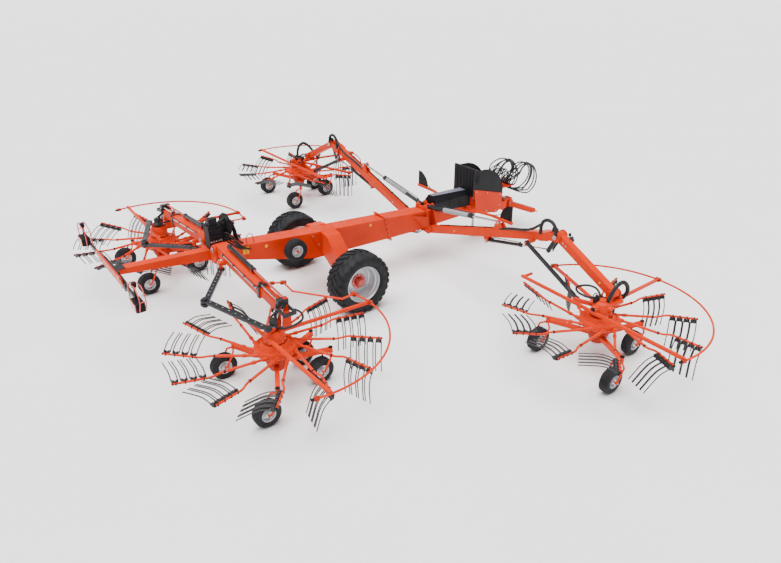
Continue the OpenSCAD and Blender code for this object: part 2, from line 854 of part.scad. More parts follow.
// Hose that arches over the outer end of the inner arm
module knee_hose() {
  hose_d = 56;
  arch_r = 165;
  x = front_arm_x - front_arm_w / 2 - cheek_t - 3;
  top = knee + [-arch_r, 92];
  // Columns: distance out, height of the leg's foot in the arm's collar and in the knee cheek
  legs = [[top[0] - arch_r, top[1] - 130], [top[0] + arch_r, knee[1] + 40]];
  translate([x, -top[0], top[1]])
    rotate([90, 0, 90])
      rotate_extrude(angle = 180) translate([arch_r, 0]) circle(d = hose_d);
  for (leg = legs) translate([x, -leg[0], leg[1]]) cylinder(h = top[1] - leg[1], d = hose_d);
}

module front_arm(side) {
  lug_t = 30;
  lug_gap = rod_eye_w / 2 + clear;
  cheek_gap = front_arm_w / 2 + 1;
  collar_w = 2 * (cheek_gap + cheek_t) + eye_proud;
  color(orange) placed() on_side(side)
    difference() {
      union() {
        box(front_at(arm_pivot), front_at(arm_end), front_arm_w, front_arm_w);
        cross_pin(arm_pivot, 80, front_arm_x - front_arm_w / 2 - 3, front_arm_x + front_arm_w / 2 + 3);
        box(front_at(arm_end - 220 * arm_dir), front_at(arm_end - 20 * arm_dir), collar_w,
          front_arm_w + eye_proud);
        for (x = [front_arm_x - lug_gap - lug_t, front_arm_x + lug_gap]) arm_lugs(x, lug_t);
        for (x = [-cheek_gap - cheek_t, cheek_gap]) {
          translate([x + cheek_t / 2, 0, 0])
            box(front_at(arm_end - 160 * arm_dir), front_at(knee), cheek_t - eye_proud,
              front_arm_w - eye_proud);
          cross_pin(knee, 95, front_arm_x + x, front_arm_x + x + cheek_t);
        }
        cross_pin(knee_pivot, cylinder_pin_r, front_arm_x - lug_gap - 40, front_arm_x + lug_gap + 40);
        cross_pin(knee, foot_pin_r, front_arm_x - front_arm_w / 2 - 50, front_arm_x + front_arm_w / 2 + 50);
        cross_pin(link_top, link_pin_r, link_plane - link_t / 2 - 12, front_arm_x);
        cross_pin(link_top, 40, link_plane + link_t / 2 + fit, front_arm_x);
        knee_hose();
      }
      cross_pin(arm_pivot, arm_pin_r + fit, front_arm_x - 200, front_arm_x + 200);
    }
}

// One cheek of the lever that the knee cylinder pushes
module knee_lever(x) {
  box([x, -knee[0], knee[1]], [x, -knee_eye[0], knee_eye[1]], lever_t - eye_proud, 76);
  cross_pin(knee_eye, 42, x - lever_t / 2, x + lever_t / 2);
}

module front_outer_arm(side) {
  color(orange) placed() on_side(side)
    difference() {
      union() {
        box(front_at(knee), front_at(foot), outer_arm_w - eye_proud, outer_arm_w);
        cross_pin(knee, 85, front_arm_x - outer_arm_w / 2, front_arm_x + outer_arm_w / 2);
        cross_pin(foot, 65, front_arm_x - outer_arm_w / 2, front_arm_x + outer_arm_w / 2);
        for (s = [-1, 1]) knee_lever(front_arm_x + s * (rod_eye_w / 2 + clear + lever_t / 2));
      }
      cross_pin(knee, foot_pin_r + fit, front_arm_x - 200, front_arm_x + 200);
      cross_pin(foot, foot_pin_r + fit, front_arm_x - 200, front_arm_x + 200);
    }
}

module front_link(side) {
  color(dark) placed() on_side(side)
    difference() {
      union() {
        box([link_plane, -link_top[0], link_top[1]], [link_plane, -link_foot[0], link_foot[1]],
          link_t - eye_proud, 60);
        for (p = [link_top, link_foot]) cross_pin(p, 42, link_plane - link_t / 2, link_plane + link_t / 2);
      }
      for (p = [link_top, link_foot]) cross_pin(p, link_pin_r + fit, link_plane - 100, link_plane + 100);
    }
}

// Cylinder barrel from its pivot towards its eye
module barrel(pivot, eye, d, len, rod_d, pin_r, eye_w) {
  rise = atan2(eye[1] - pivot[1], eye[0] - pivot[0]);
  difference() {
    union() {
      cross_pin(pivot, eye_r, front_arm_x - eye_w / 2, front_arm_x + eye_w / 2);
      translate(front_at(pivot))
        rotate([90 - rise, 0, 0])
          translate([0, 0, 30]) cylinder(h = len - 30, d = d);
    }
    cross_pin(pivot, pin_r + fit, front_arm_x - 100, front_arm_x + 100);
    translate(front_at(pivot))
      rotate([90 - rise, 0, 0])
        translate([0, 0, 70]) cylinder(h = len, d = rod_d + 2 * fit);
  }
}

// Cylinder rod with a closed eye that its lugs stand clear of
module rod(pivot, eye, rod_d, len, eye_w) {
  rise = atan2(eye[1] - pivot[1], eye[0] - pivot[0]);
  reach = norm(eye - pivot);
  translate(front_at(pivot))
    rotate([90 - rise, 0, 0])
      translate([0, 0, reach - len]) cylinder(h = len, d = rod_d);
  cross_pin(eye, eye_r - 6, front_arm_x - eye_w / 2, front_arm_x + eye_w / 2);
}

lift_barrel_len = 1380;
lift_rod_len = 1550;
lift_rod_d = 46;
knee_barrel_len = 900;
knee_rod_len = 1420;
knee_rod_d = 34;
rod_eye_w = 50;

module lift_barrel(side) {
  color(dark) placed() on_side(side)
    barrel(lift_pivot, lift_eye, lift_d, lift_barrel_len, lift_rod_d, cylinder_pin_r, 70);
}

module lift_rod(side) {
  color(steel) placed() on_side(side) rod(lift_pivot, lift_eye, lift_rod_d, lift_rod_len, rod_eye_w);
}

module knee_barrel(side) {
  color(dark) placed() on_side(side)
    barrel(knee_pivot, knee_eye, knee_d, knee_barrel_len, knee_rod_d, cylinder_pin_r, rod_eye_w);
}

module knee_rod(side) {
  color(steel) placed() on_side(side) rod(knee_pivot, knee_eye, knee_rod_d, knee_rod_len, rod_eye_w);
}

// Frame of a rear arm on the right: X out along the arm, Y forward, Z up from it
module along_rear_arm() {
  translate([-rear_arm_back, -rear_pivot[0], rear_pivot[1]])
    rotate([rear_slope, 0, 0])
      rotate([0, 0, -90])
        children();
}

module rear_arm(side) {
  color(orange) placed() on_side(side)
    along_rear_arm()
      difference() {
        union() {
          translate([0, -rear_arm_w / 2, -rear_arm_w / 2]) cube([rear_tube_to, rear_arm_w, rear_arm_w]);
          rotate([90, 0, 0]) translate([0, 0, -rear_arm_w / 2]) cylinder(h = rear_arm_w, r = rear_arm_w / 2);
          translate([300, rear_barrel_y, rear_barrel_z])
            rotate([0, 90, 0]) cylinder(h = 900, d = rear_barrel_d);
          for (x = [320, 1120])
            translate([x, rear_barrel_y - 30, rear_arm_w / 2 - 5])
              cube([60, 60, rear_barrel_z - rear_arm_w / 2 + 10]);
          translate([scissor_root[0], scissor_root[1], scissor_top - scissor_t * 2 - 20])
            cylinder(h = 2 * scissor_t + 20 - scissor_top - rear_arm_w / 2 + 25, r = 24);
          translate([scissor_root[0] - 40, scissor_root[1] - 40, scissor_top + 3])
            cube([80, -scissor_root[1] - rear_arm_w / 2 + 60, -scissor_top - rear_arm_w / 2 + 20]);
        }
        rotate([90, 0, 0]) translate([0, 0, -200]) cylinder(h = 400, r = arm_pin_r + fit);
        translate([rear_tube_from, -slide_w / 2 - fit, -slide_w / 2 - fit])
          cube([rear_tube_to, slide_w + 2 * fit, slide_w + 2 * fit]);
        translate([330, rear_barrel_y, rear_barrel_z])
          rotate([0, 90, 0]) cylinder(h = 1000, d = rear_rod_d + 2 * fit);
      }
}

module rear_slide(side) {
  post_w = slide_w + eye_proud;
  color(orange) placed() on_side(side) {
    along_rear_arm() {
      translate([slide_from, -slide_w / 2, -slide_w / 2]) cube([slide_to - slide_from, slide_w, slide_w]);
      translate([slide_from, rear_barrel_y, rear_barrel_z])
        rotate([0, 90, 0]) cylinder(h = slide_to - slide_from - 25, d = rear_rod_d);
      translate([slide_to - 70, rear_barrel_y - 35, slide_w / 2 - 5])
        cube([60, 70, rear_barrel_z - slide_w / 2 + 35]);
      scissor_bar([slide_to - 10, -10], scissor_end, scissor_top - 2 * scissor_t - clear);
    }
    translate([-rear_arm_back - post_w / 2, -rear_rotor_y - 75, head_z]) cube([post_w, 150, 240]);
  }
}

module rear_link_inner(side) {
  color(dark) placed() on_side(side)
    along_rear_arm()
      difference() {
        union() {
          scissor_bar(scissor_root, scissor_elbow, scissor_top - scissor_t * 2 - 10);
          translate([scissor_elbow[0], scissor_elbow[1], scissor_top - scissor_t * 2 - 10])
            cylinder(h = 2 * scissor_t + 20, r = 20);
        }
        translate([scissor_root[0], scissor_root[1], scissor_top - 300]) cylinder(h = 400, r = 24 + fit);
      }
}

module rear_link_outer(side) {
  color(dark) placed() on_side(side)
    along_rear_arm()
      difference() {
        scissor_bar(scissor_elbow, scissor_end, scissor_top - scissor_t);
        translate([scissor_elbow[0], scissor_elbow[1], scissor_top - 300]) cylinder(h = 400, r = 20 + fit);
      }
}

// Flat bar with round ends from a to b, lying at height z
module scissor_bar(a, b, z) {
  v = b - a;
  bar_w = scissor_w - 16;
  translate([a[0], a[1], z]) cylinder(h = scissor_t, d = scissor_w);
  translate([b[0], b[1], z]) cylinder(h = scissor_t, d = scissor_w);
  translate([a[0], a[1], z])
    rotate(atan2(v[1], v[0]))
      translate([0, -bar_w / 2, eye_proud / 2]) cube([norm(v), bar_w, scissor_t - eye_proud]);
}

main_frame();
driveline_cover();
front_shield();
rear_light_bar();
spare_wheel();
hydraulic_block();
parking_stand();
hose_bundle();
marker_plates();
headstock();
for (s = [["left", LEFT], ["right", RIGHT]]) {
  main_tyre(s[1]);
  main_rim(s[1]);
  front_arm(s[1]);
  front_outer_arm(s[1]);
  front_link(s[1]);
  lift_barrel(s[1]);
  lift_rod(s[1]);
  knee_barrel(s[1]);
  knee_rod(s[1]);
  rear_arm(s[1]);
  rear_slide(s[1]);
  rear_link_inner(s[1]);
  rear_link_outer(s[1]);
  carriage_front(s[1]);
  carriage_rear(s[1]);
  reel_front(s[1]);
  reel_rear(s[1]);
  for (i = [1:4]) {
    rotor_wheel(s[1], front_rotor_x, front_rotor_y, i);
    rotor_wheel(s[1], -rear_rotor_back, rear_rotor_y, i);
  }
}
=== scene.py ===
from itertools import product
from math import atan2, cos, degrees, dist, pi, radians, sin

import bpy
from mathutils import Matrix, Vector


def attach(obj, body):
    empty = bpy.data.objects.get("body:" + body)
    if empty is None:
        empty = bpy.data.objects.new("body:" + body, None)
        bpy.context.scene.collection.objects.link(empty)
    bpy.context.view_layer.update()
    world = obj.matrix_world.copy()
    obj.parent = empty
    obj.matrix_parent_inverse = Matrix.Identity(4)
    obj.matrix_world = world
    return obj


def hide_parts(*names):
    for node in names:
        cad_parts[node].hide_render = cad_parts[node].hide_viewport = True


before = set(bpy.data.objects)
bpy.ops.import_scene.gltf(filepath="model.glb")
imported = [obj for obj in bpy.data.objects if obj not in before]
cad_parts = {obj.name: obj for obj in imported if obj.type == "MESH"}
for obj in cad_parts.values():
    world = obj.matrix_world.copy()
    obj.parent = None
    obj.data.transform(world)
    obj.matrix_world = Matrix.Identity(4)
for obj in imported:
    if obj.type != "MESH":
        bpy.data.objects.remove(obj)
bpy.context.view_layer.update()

# X of the main axle in the record's frame (metres); the pieces below are measured from the axle.
AXLE = -0.8
SIDES = (("right", -1), ("left", 1))


# Camera, floor and light

# As fitted to the photograph: place in metres, angles in degrees, focal length in pixels
CAMERA_AT, CAMERA_DOWN, CAMERA_YAW = (-6.0833 + AXLE, -10.419, 6.241), 27.2, -36.51
FOCAL, PHOTO_W, SENSOR_W = 667.767, 781, 36


def make_camera():
    cam = bpy.data.objects.new("camera", bpy.data.cameras.new("camera"))
    bpy.context.collection.objects.link(cam)
    cam.location = CAMERA_AT
    cam.rotation_euler = (radians(90 - CAMERA_DOWN), 0, radians(CAMERA_YAW))
    cam.data.sensor_width = SENSOR_W
    cam.data.lens = FOCAL * SENSOR_W / PHOTO_W
    cam.data.clip_end = 400
    bpy.context.scene.camera = cam


def sun(name, towards, power, spread, colour):
    light = bpy.data.lights.new(name, "SUN")
    light.energy = power
    light.angle = radians(spread)
    light.color = colour
    ob = bpy.data.objects.new(name, light)
    bpy.context.collection.objects.link(ob)
    ob.rotation_euler = Vector(towards).to_track_quat("-Z", "Y").to_euler()


def make_stage():
    world = bpy.data.worlds.new("studio")
    world.use_nodes = True
    back = world.node_tree.nodes["Background"]
    back.inputs["Color"].default_value = (0.97, 0.98, 1.0, 1)
    back.inputs["Strength"].default_value = 0.28
    bpy.context.scene.world = world
    sun("key", (0.75, -0.1, -1.0), 1.0, 35, (1.0, 0.98, 0.95))
    sun("top", (0.1, -0.05, -1.0), 6.6, 65, (1.0, 1.0, 1.0))
    # A pale floor that rises far out, so that no horizon shows
    flat, reach, rise, sides, steps = 85, 60, 30, 96, 16
    rings = [(flat + reach * k / steps, rise * (k / steps) ** 2) for k in range(steps + 1)]
    verts = [(r * cos(2 * pi * j / sides), r * sin(2 * pi * j / sides), z)
        for r, z in rings for j in range(sides)]
    faces = [tuple(range(sides))] + bands(steps + 1, sides)
    me = bpy.data.meshes.new("floor")
    me.from_pydata(verts, [], faces)
    for f in me.polygons:
        f.use_smooth = len(f.vertices) == 4
    floor = bpy.data.objects.new("floor", me)
    bpy.context.collection.objects.link(floor)
    floor.location.z = -0.002
    me.materials.append(MAT["floor"])


# Materials

MAT = {}
# The record's slot that each surface belongs to
SLOT = {mat: slot for slot, mats in {
    "orange_paint": ("orange", "deep_orange", "red_paint"),
    "dark_paint": ("dark_paint", "coil", "grey_sleeve"),
    "black_plastic": ("black_plastic", "painted_sheen_top", "red_lens", "amber_lens", "yellow", "red_cap"),
    "rubber": ("rubber", "hose"),
    "silver_paint": ("silver",),
    "zinc_steel": ("zinc", "chrome", "spring"),
}.items() for mat in mats}


def material(name, colour, rough, mottle, scale, grain, bump, metal=0.0, coat=0.0, painted_light_lift=0.0, spec=0.5):
    """A surface whose tone, gloss and fine relief come from noise at two scales."""
    m = bpy.data.materials.new(name)
    m.use_nodes = True
    nt = m.node_tree
    link = nt.links.new
    bsdf = nt.nodes["Principled BSDF"]
    bsdf.inputs["Metallic"].default_value = metal
    bsdf.inputs["Specular IOR Level"].default_value = spec
    if coat:
        bsdf.inputs["Coat Weight"].default_value = coat
        bsdf.inputs["Coat Roughness"].default_value = 0.12

    def node(kind, values):
        n = nt.nodes.new(f"ShaderNode{kind}")
        for socket, value in values.items():
            n.inputs[socket].default_value = value
        return n

    def noise(scale, detail):
        n = node("TexNoise", {"Scale": scale, "Detail": detail})
        link(coord.outputs["Object"], n.inputs["Vector"])
        return n.outputs["Fac"]

    coord = node("TexCoord", {})
    ramp = node("ValToRGB", {})
    dark = [c * (1 - mottle) for c in colour]
    # The added lift raises the pale tone: painted light, for surfaces that catch the light
    pale = [min(1, c * (1 + mottle) + painted_light_lift) for c in colour]
    for stop, place, tone in zip(ramp.color_ramp.elements, (0.32, 0.7), (dark, pale)):
        stop.position = place
        stop.color = (*tone, 1)
    link(noise(scale, 5), ramp.inputs["Fac"])
    link(ramp.outputs["Color"], bsdf.inputs["Base Color"])
    gloss = node("MapRange", {"From Min": 0.3, "From Max": 0.7, "To Min": max(0.02, rough - 0.08),
        "To Max": min(1, rough + 0.08)})
    link(noise(scale * 6, 4), gloss.inputs["Value"])
    link(gloss.outputs["Result"], bsdf.inputs["Roughness"])
    relief = node("Bump", {"Strength": bump, "Distance": 0.002})
    link(noise(grain, 2), relief.inputs["Height"])
    link(relief.outputs["Normal"], bsdf.inputs["Normal"])
    MAT[name] = m


def make_materials():
    # Colour, roughness, mottle, scale of the clouds, scale of the grain, bump
    material("floor", (0.93, 0.93, 0.93), 0.9, 0.01, 0.4, 60, 0.01)
    material("orange", (0.6, 0.028, 0.0004), 0.4, 0.1, 1.6, 700, 0.05, spec=0.12)
    material("deep_orange", (0.34, 0.016, 0.001), 0.46, 0.15, 3, 600, 0.05, spec=0.16)
    material("dark_paint", (0.014, 0.015, 0.018), 0.34, 0.25, 4, 600, 0.05, spec=0.35)
    material("black_plastic", (0.007, 0.007, 0.009), 0.46, 0.2, 5, 900, 0.12, spec=0.14)
    # The cover's top: the same black plastic painted paler and bluish, a painted sheen of the sky on the top
    # face
    material("painted_sheen_top", (0.13, 0.125, 0.17), 0.42, 0.1, 4, 900, 0.1, spec=0.3)
    # The rubber's pale tone is lifted as painted light on the lit tread
    material("rubber", (0.011, 0.011, 0.013), 0.7, 0.3, 9, 500, 0.2, painted_light_lift=0.006, spec=0.2)
    material("hose", (0.008, 0.008, 0.009), 0.45, 0.25, 14, 900, 0.15, spec=0.3)
    material("silver", (0.56, 0.57, 0.6), 0.36, 0.08, 6, 600, 0.05, metal=0.55)
    material("zinc", (0.42, 0.42, 0.41), 0.4, 0.18, 18, 700, 0.08, metal=0.9)
    material("chrome", (0.78, 0.79, 0.81), 0.1, 0.04, 20, 900, 0.01, metal=1.0)
    material("spring", (0.016, 0.016, 0.018), 0.45, 0.3, 30, 900, 0.08, metal=0.15)
    material("coil", (0.014, 0.014, 0.016), 0.42, 0.3, 30, 900, 0.1, metal=0.2)
    material("red_paint", (0.5, 0.02, 0.012), 0.36, 0.15, 6, 600, 0.05, coat=0.3)
    material("red_lens", (0.42, 0.008, 0.01), 0.16, 0.12, 60, 300, 0.15, coat=0.6)
    material("amber_lens", (0.8, 0.22, 0.012), 0.16, 0.12, 60, 300, 0.15, coat=0.6)
    material("yellow", (0.9, 0.4, 0.004), 0.3, 0.1, 40, 400, 0.05, spec=0.15)
    material("grey_sleeve", (0.3, 0.3, 0.31), 0.5, 0.15, 20, 700, 0.1)
    material("red_cap", (0.55, 0.015, 0.012), 0.36, 0.15, 40, 400, 0.08)


# Mesh building

SHARP_ANGLE = 38


def bands(rings, n):
    """Faces between rings of n points."""
    return [(k * n + j, k * n + (j + 1) % n, (k + 1) * n + (j + 1) % n, (k + 1) * n + j)
        for k in range(rings - 1) for j in range(n)]


class Maker:
    """Gathers faces in metres from the axle, drawn for the right side."""

    def __init__(self):
        self.verts, self.faces = [], []

    def add(self, verts, faces, at=None):
        base = len(self.verts)
        self.verts += [tuple(at @ Vector(v)) if at else tuple(v) for v in verts]
        self.faces += [tuple(base + i for i in f) for f in faces]

    def tube(self, path, r, sides=12, at=None, radii=None):
        pts = [Vector(p) for p in path]
        verts = []
        normal = None
        for k, p in enumerate(pts):
            ahead = (pts[min(k + 1, len(pts) - 1)] - pts[max(k - 1, 0)]).normalized()
            if normal is None:
                normal = ahead.orthogonal().normalized()
            normal = (normal - ahead * normal.dot(ahead)).normalized()
            other = ahead.cross(normal)
            rk = radii[k] if radii else r
            for j in range(sides):
                a = 2 * pi * j / sides
                verts.append(p + (normal * cos(a) + other * sin(a)) * rk)
        faces = bands(len(pts), sides)
        faces.append(tuple(reversed(range(sides))))
        faces.append(tuple(range((len(pts) - 1) * sides, len(pts) * sides)))
        self.add(verts, faces, at)

    def shell(self, profile, sides, at):
        """Turns a closed profile about Z."""
        self.lathe(profile, sides, at, closed=True)

    def hose(self, points, r, steps=6, sides=10):
        """Smooth hose through the points."""
        self.tube(spline(points, steps), r, sides)

    def lathe(self, profile, sides=48, at=None, closed=False):
        """Turns (radius, height) points about Z; a closed profile makes a ring."""
        verts, faces = [], []
        n = len(profile)
        for j in range(sides):
            a = 2 * pi * j / sides
            verts += [(r * cos(a), r * sin(a), z) for r, z in profile]
        spans = n if closed else n - 1
        for j in range(sides):
            nj = (j + 1) % sides
            for k in range(spans):
                nk = (k + 1) % n
                faces.append((j * n + k, nj * n + k, nj * n + nk, j * n + nk))
        if not closed:
            faces.append(tuple(reversed([j * n for j in range(sides)])))
            faces.append(tuple(j * n + n - 1 for j in range(sides)))
        self.add(verts, faces, at)

    def disc(self, r, low, high, at=None, sides=32, edge=0.003):
        """Short cylinder along Z with broken edges."""
        self.lathe([(r - edge, low), (r, low + edge), (r, high - edge), (r - edge, high)], sides, at)

    def block(self, size, at=None, edge=0.004):
        """Box about its middle with chamfered edges."""
        hx, hy, hz = (s / 2 for s in size)
        e = min(edge, hx * 0.45, hy * 0.45, hz * 0.45)
        verts, i = [], {}
        for sx, sy, sz in product((-1, 1), repeat=3):
            for k, v in enumerate([(sx * hx, sy * (hy - e), sz * (hz - e)),
                    (sx * (hx - e), sy * hy, sz * (hz - e)), (sx * (hx - e), sy * (hy - e), sz * hz)]):
                i[sx, sy, sz, k] = len(verts)
                verts.append(v)
        faces = []
        for s in (-1, 1):
            faces.append([i[s, -1, -1, 0], i[s, 1, -1, 0], i[s, 1, 1, 0], i[s, -1, 1, 0]][::s])
            faces.append([i[-1, s, -1, 1], i[1, s, -1, 1], i[1, s, 1, 1], i[-1, s, 1, 1]][::-s])
            faces.append([i[-1, -1, s, 2], i[1, -1, s, 2], i[1, 1, s, 2], i[-1, 1, s, 2]][::s])
        for a, b in product((-1, 1), repeat=2):
            faces.append([i[a, b, -1, 0], i[a, b, -1, 1], i[a, b, 1, 1], i[a, b, 1, 0]][::a * b])
            faces.append([i[a, -1, b, 0], i[a, 1, b, 0], i[a, 1, b, 2], i[a, -1, b, 2]][::a * b])
            faces.append([i[-1, a, b, 1], i[-1, a, b, 2], i[1, a, b, 2], i[1, a, b, 1]][::a * b])
            for c in (-1, 1):
                faces.append([i[a, b, c, 0], i[a, b, c, 1], i[a, b, c, 2]][::a * b * c])
        self.add(verts, faces, at)

    def plate(self, outline, t, at=None):
        """Flat plate: outline in X, Y, thickness t centred on Z."""
        n = len(outline)
        verts = [(x, y, -t / 2) for x, y in outline] + [(x, y, t / 2) for x, y in outline]
        faces = [tuple(reversed(range(n))), tuple(range(n, 2 * n))]
        faces += [(k, (k + 1) % n, n + (k + 1) % n, n + k) for k in range(n)]
        self.add(verts, faces, at)

    def bolt(self, p, axis, r=0.011, h=0.01):
        at = Matrix.Translation(p) @ Vector(axis).to_track_quat("Z", "Y").to_matrix().to_4x4()
        self.lathe([(r * 1.5, -0.001), (r * 1.5, 0.002), (r * 1.02, 0.002), (r, h - 0.002), (r * 0.85, h)],
            6, at)

    def bolt_ring(self, count, ring_r, z, at, axis, r, h):
        for k in range(count):
            a = 2 * pi * k / count
            self.bolt(at @ Vector((ring_r * cos(a), ring_r * sin(a), z)), axis, r, h)

    def bar(self, a, b, r, sides=16):
        self.tube([a, b], r, sides)

    def beam(self, a, b, w, h, edge=0.004):
        """Box section from a to b, w across and h deep."""
        run = (Vector(b) - Vector(a)).length
        self.block((run, w, h), look(a, b) @ move(run / 2, 0, 0), edge)

    def ring(self, at, big, small, sides=14, steps=56):
        """Round ring about Z."""
        self.shell([(big + small * cos(2 * pi * k / sides), small * sin(2 * pi * k / sides))
            for k in range(sides)], steps, at)

    def ribbed(self, path, r, pitch=0.022, rise=0.16, sides=16):
        """Corrugated hose along a path."""
        pts = [Vector(p) for p in path]
        total = sum((b - a).length for a, b in zip(pts, pts[1:]))
        count = max(2, round(total / pitch)) * 4
        out, radii, k, run = [], [], 0, 0.0
        for n in range(count + 1):
            goal = total * n / count
            while k < len(pts) - 2 and run + (pts[k + 1] - pts[k]).length < goal:
                run += (pts[k + 1] - pts[k]).length
                k += 1
            step = (pts[k + 1] - pts[k]).length
            out.append(pts[k].lerp(pts[k + 1], min(1, (goal - run) / step) if step else 0))
            radii.append(r * (1 + (rise if n % 4 in (1, 2) else 0)))
        self.tube(out, r, sides, radii=radii)

    def make(self, name, mat, body="chassis", side=-1, replaces=(), slot=None):
        """Makes the piece, mirrored for the left side."""
        slot = slot or SLOT[mat]
        flip = side > 0
        verts = [(x + AXLE, -y if flip else y, z) for x, y, z in self.verts]
        faces = [tuple(reversed(f)) for f in self.faces] if flip else self.faces
        me = bpy.data.meshes.new(name)
        me.from_pydata(verts, [], faces)
        me.update()
        me.materials.append(MAT[mat])
        for p in me.polygons:
            p.use_smooth = True
        me.set_sharp_from_angle(angle=radians(SHARP_ANGLE))
        ob = bpy.data.objects.new(name, me)
        bpy.context.collection.objects.link(ob)
        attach(ob, body)
        if replaces:
            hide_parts(*replaces)


def makers(n):
    return [Maker() for _ in range(n)]


def make_all(prefix, rows, body="chassis", side=-1):
    """Makes pieces from (maker, name, surface) rows."""
    for maker, name, mat in rows:
        maker.make(f"{prefix}_{name}", mat, body, side)


def bent(points, radius, steps=6):
    """A path whose corners are rounded."""
    pts = [Vector(p) for p in points]
    out = [pts[0]]
    for a, b, c in zip(pts, pts[1:], pts[2:]):
        u, v = (a - b), (c - b)
        cut = min(radius, u.length * 0.45, v.length * 0.45)
        p, q = b + u.normalized() * cut, b + v.normalized() * cut
        for k in range(steps + 1):
            t = k / steps
            out.append(p * (1 - t) ** 2 + b * (2 * t * (1 - t)) + q * t ** 2)
    out.append(pts[-1])
    return out


def spline(points, steps=8):
    """Smooth curve through the points."""
    pts = [Vector(p) for p in points]
    pts = [pts[0] * 2 - pts[1]] + pts + [pts[-1] * 2 - pts[-2]]
    out = []
    for a, b, c, d in zip(pts, pts[1:], pts[2:], pts[3:]):
        for k in range(steps):
            t = k / steps
            out.append(0.5 * ((2 * b) + (c - a) * t + (2 * a - 5 * b + 4 * c - d) * t * t
                + (3 * b - a - 3 * c + d) * t ** 3))
    out.append(pts[-2])
    return out


def look(a, b):
    """Places X along a to b, with Z as near to up as it goes."""
    x = (Vector(b) - Vector(a)).normalized()
    y = Vector((0, 0, 1)).cross(x)
    y = y.normalized() if y.length > 1e-6 else Vector((0, 1, 0))
    m = Matrix((x, y, x.cross(y))).transposed().to_4x4()
    m.translation = a
    return m


def turn(axis, deg):
    return Matrix.Rotation(radians(deg), 4, axis)


def move(x, y, z):
    return Matrix.Translation((x, y, z))


# Reels

ROTORS = {"front": dict(x=2.214, y=-4.92, arms=11, phase=87, bar_r=1.555),
    "rear": dict(x=-2.394, y=-2.5, arms=12, phase=114.5, bar_r=1.62)}
CAM_TRACK = ((0, 0), (60, 0), (125, 86), (220, 86), (280, 0), (360, 0))
TUBE_Z, TUBE_D, BAR_D = 0.722, 0.044, 0.036
DOGLEG, SWEEP, LEAD = 0.05, 8, 0.225
TUBE_FROM, DOGLEG_FROM, DOGLEG_TO = 0.15, 0.94, 1.075
FIRST_TINE, LAST_INSET = 0.11, 0.052
COIL_R, COIL_Z, WIRE_OUT = 0.031, -0.052, 0.045
TINE_D, TINE_DROP, TINE_PAIRS = 0.018, 0.58, 4


def cam_roll(bearing):
    for (a, ra), (b, rb) in zip(CAM_TRACK, CAM_TRACK[1:]):
        if a <= bearing <= b:
            return ra + (rb - ra) * (bearing - a) / (b - a)
    return 0


def tine_pair(coils, wires, s, at):
    """Clamp, two close-wound coils and two wires of one sprung double tine at s along its bar."""
    coils.block((0.02, 0.046, 0.046), at @ move(s, 0, 0), 0.006)
    coils.block((0.014, 0.012, 0.07), at @ move(s, 0, -0.054), 0.004)
    turns, steps = 3, 12
    for e in (-1, 1):
        coil = []
        for q in range(turns * steps + 1):
            a = 2 * pi * q / steps
            out = 0.009 + 0.036 * q / (turns * steps)
            coil.append((s + e * out, COIL_R * sin(a), COIL_Z - COIL_R * cos(a)))
        coils.tube(coil, 0.006, 6, at)
        coils.disc(0.026, 0.01, 0.044, at @ move(s, 0, COIL_Z) @ turn("Y", 90 * e), 16, 0.002)
        x = s + e * WIRE_OUT
        wire = [(x, 0.006, COIL_Z - COIL_R), (x, -0.02, COIL_Z - 0.033), (x, -0.066, -0.205),
            (x, -0.072, -0.32), (x, -0.055, -TINE_DROP)]
        wires.tube(bent(wire, 0.05, 4), TINE_D / 2, 7, at)


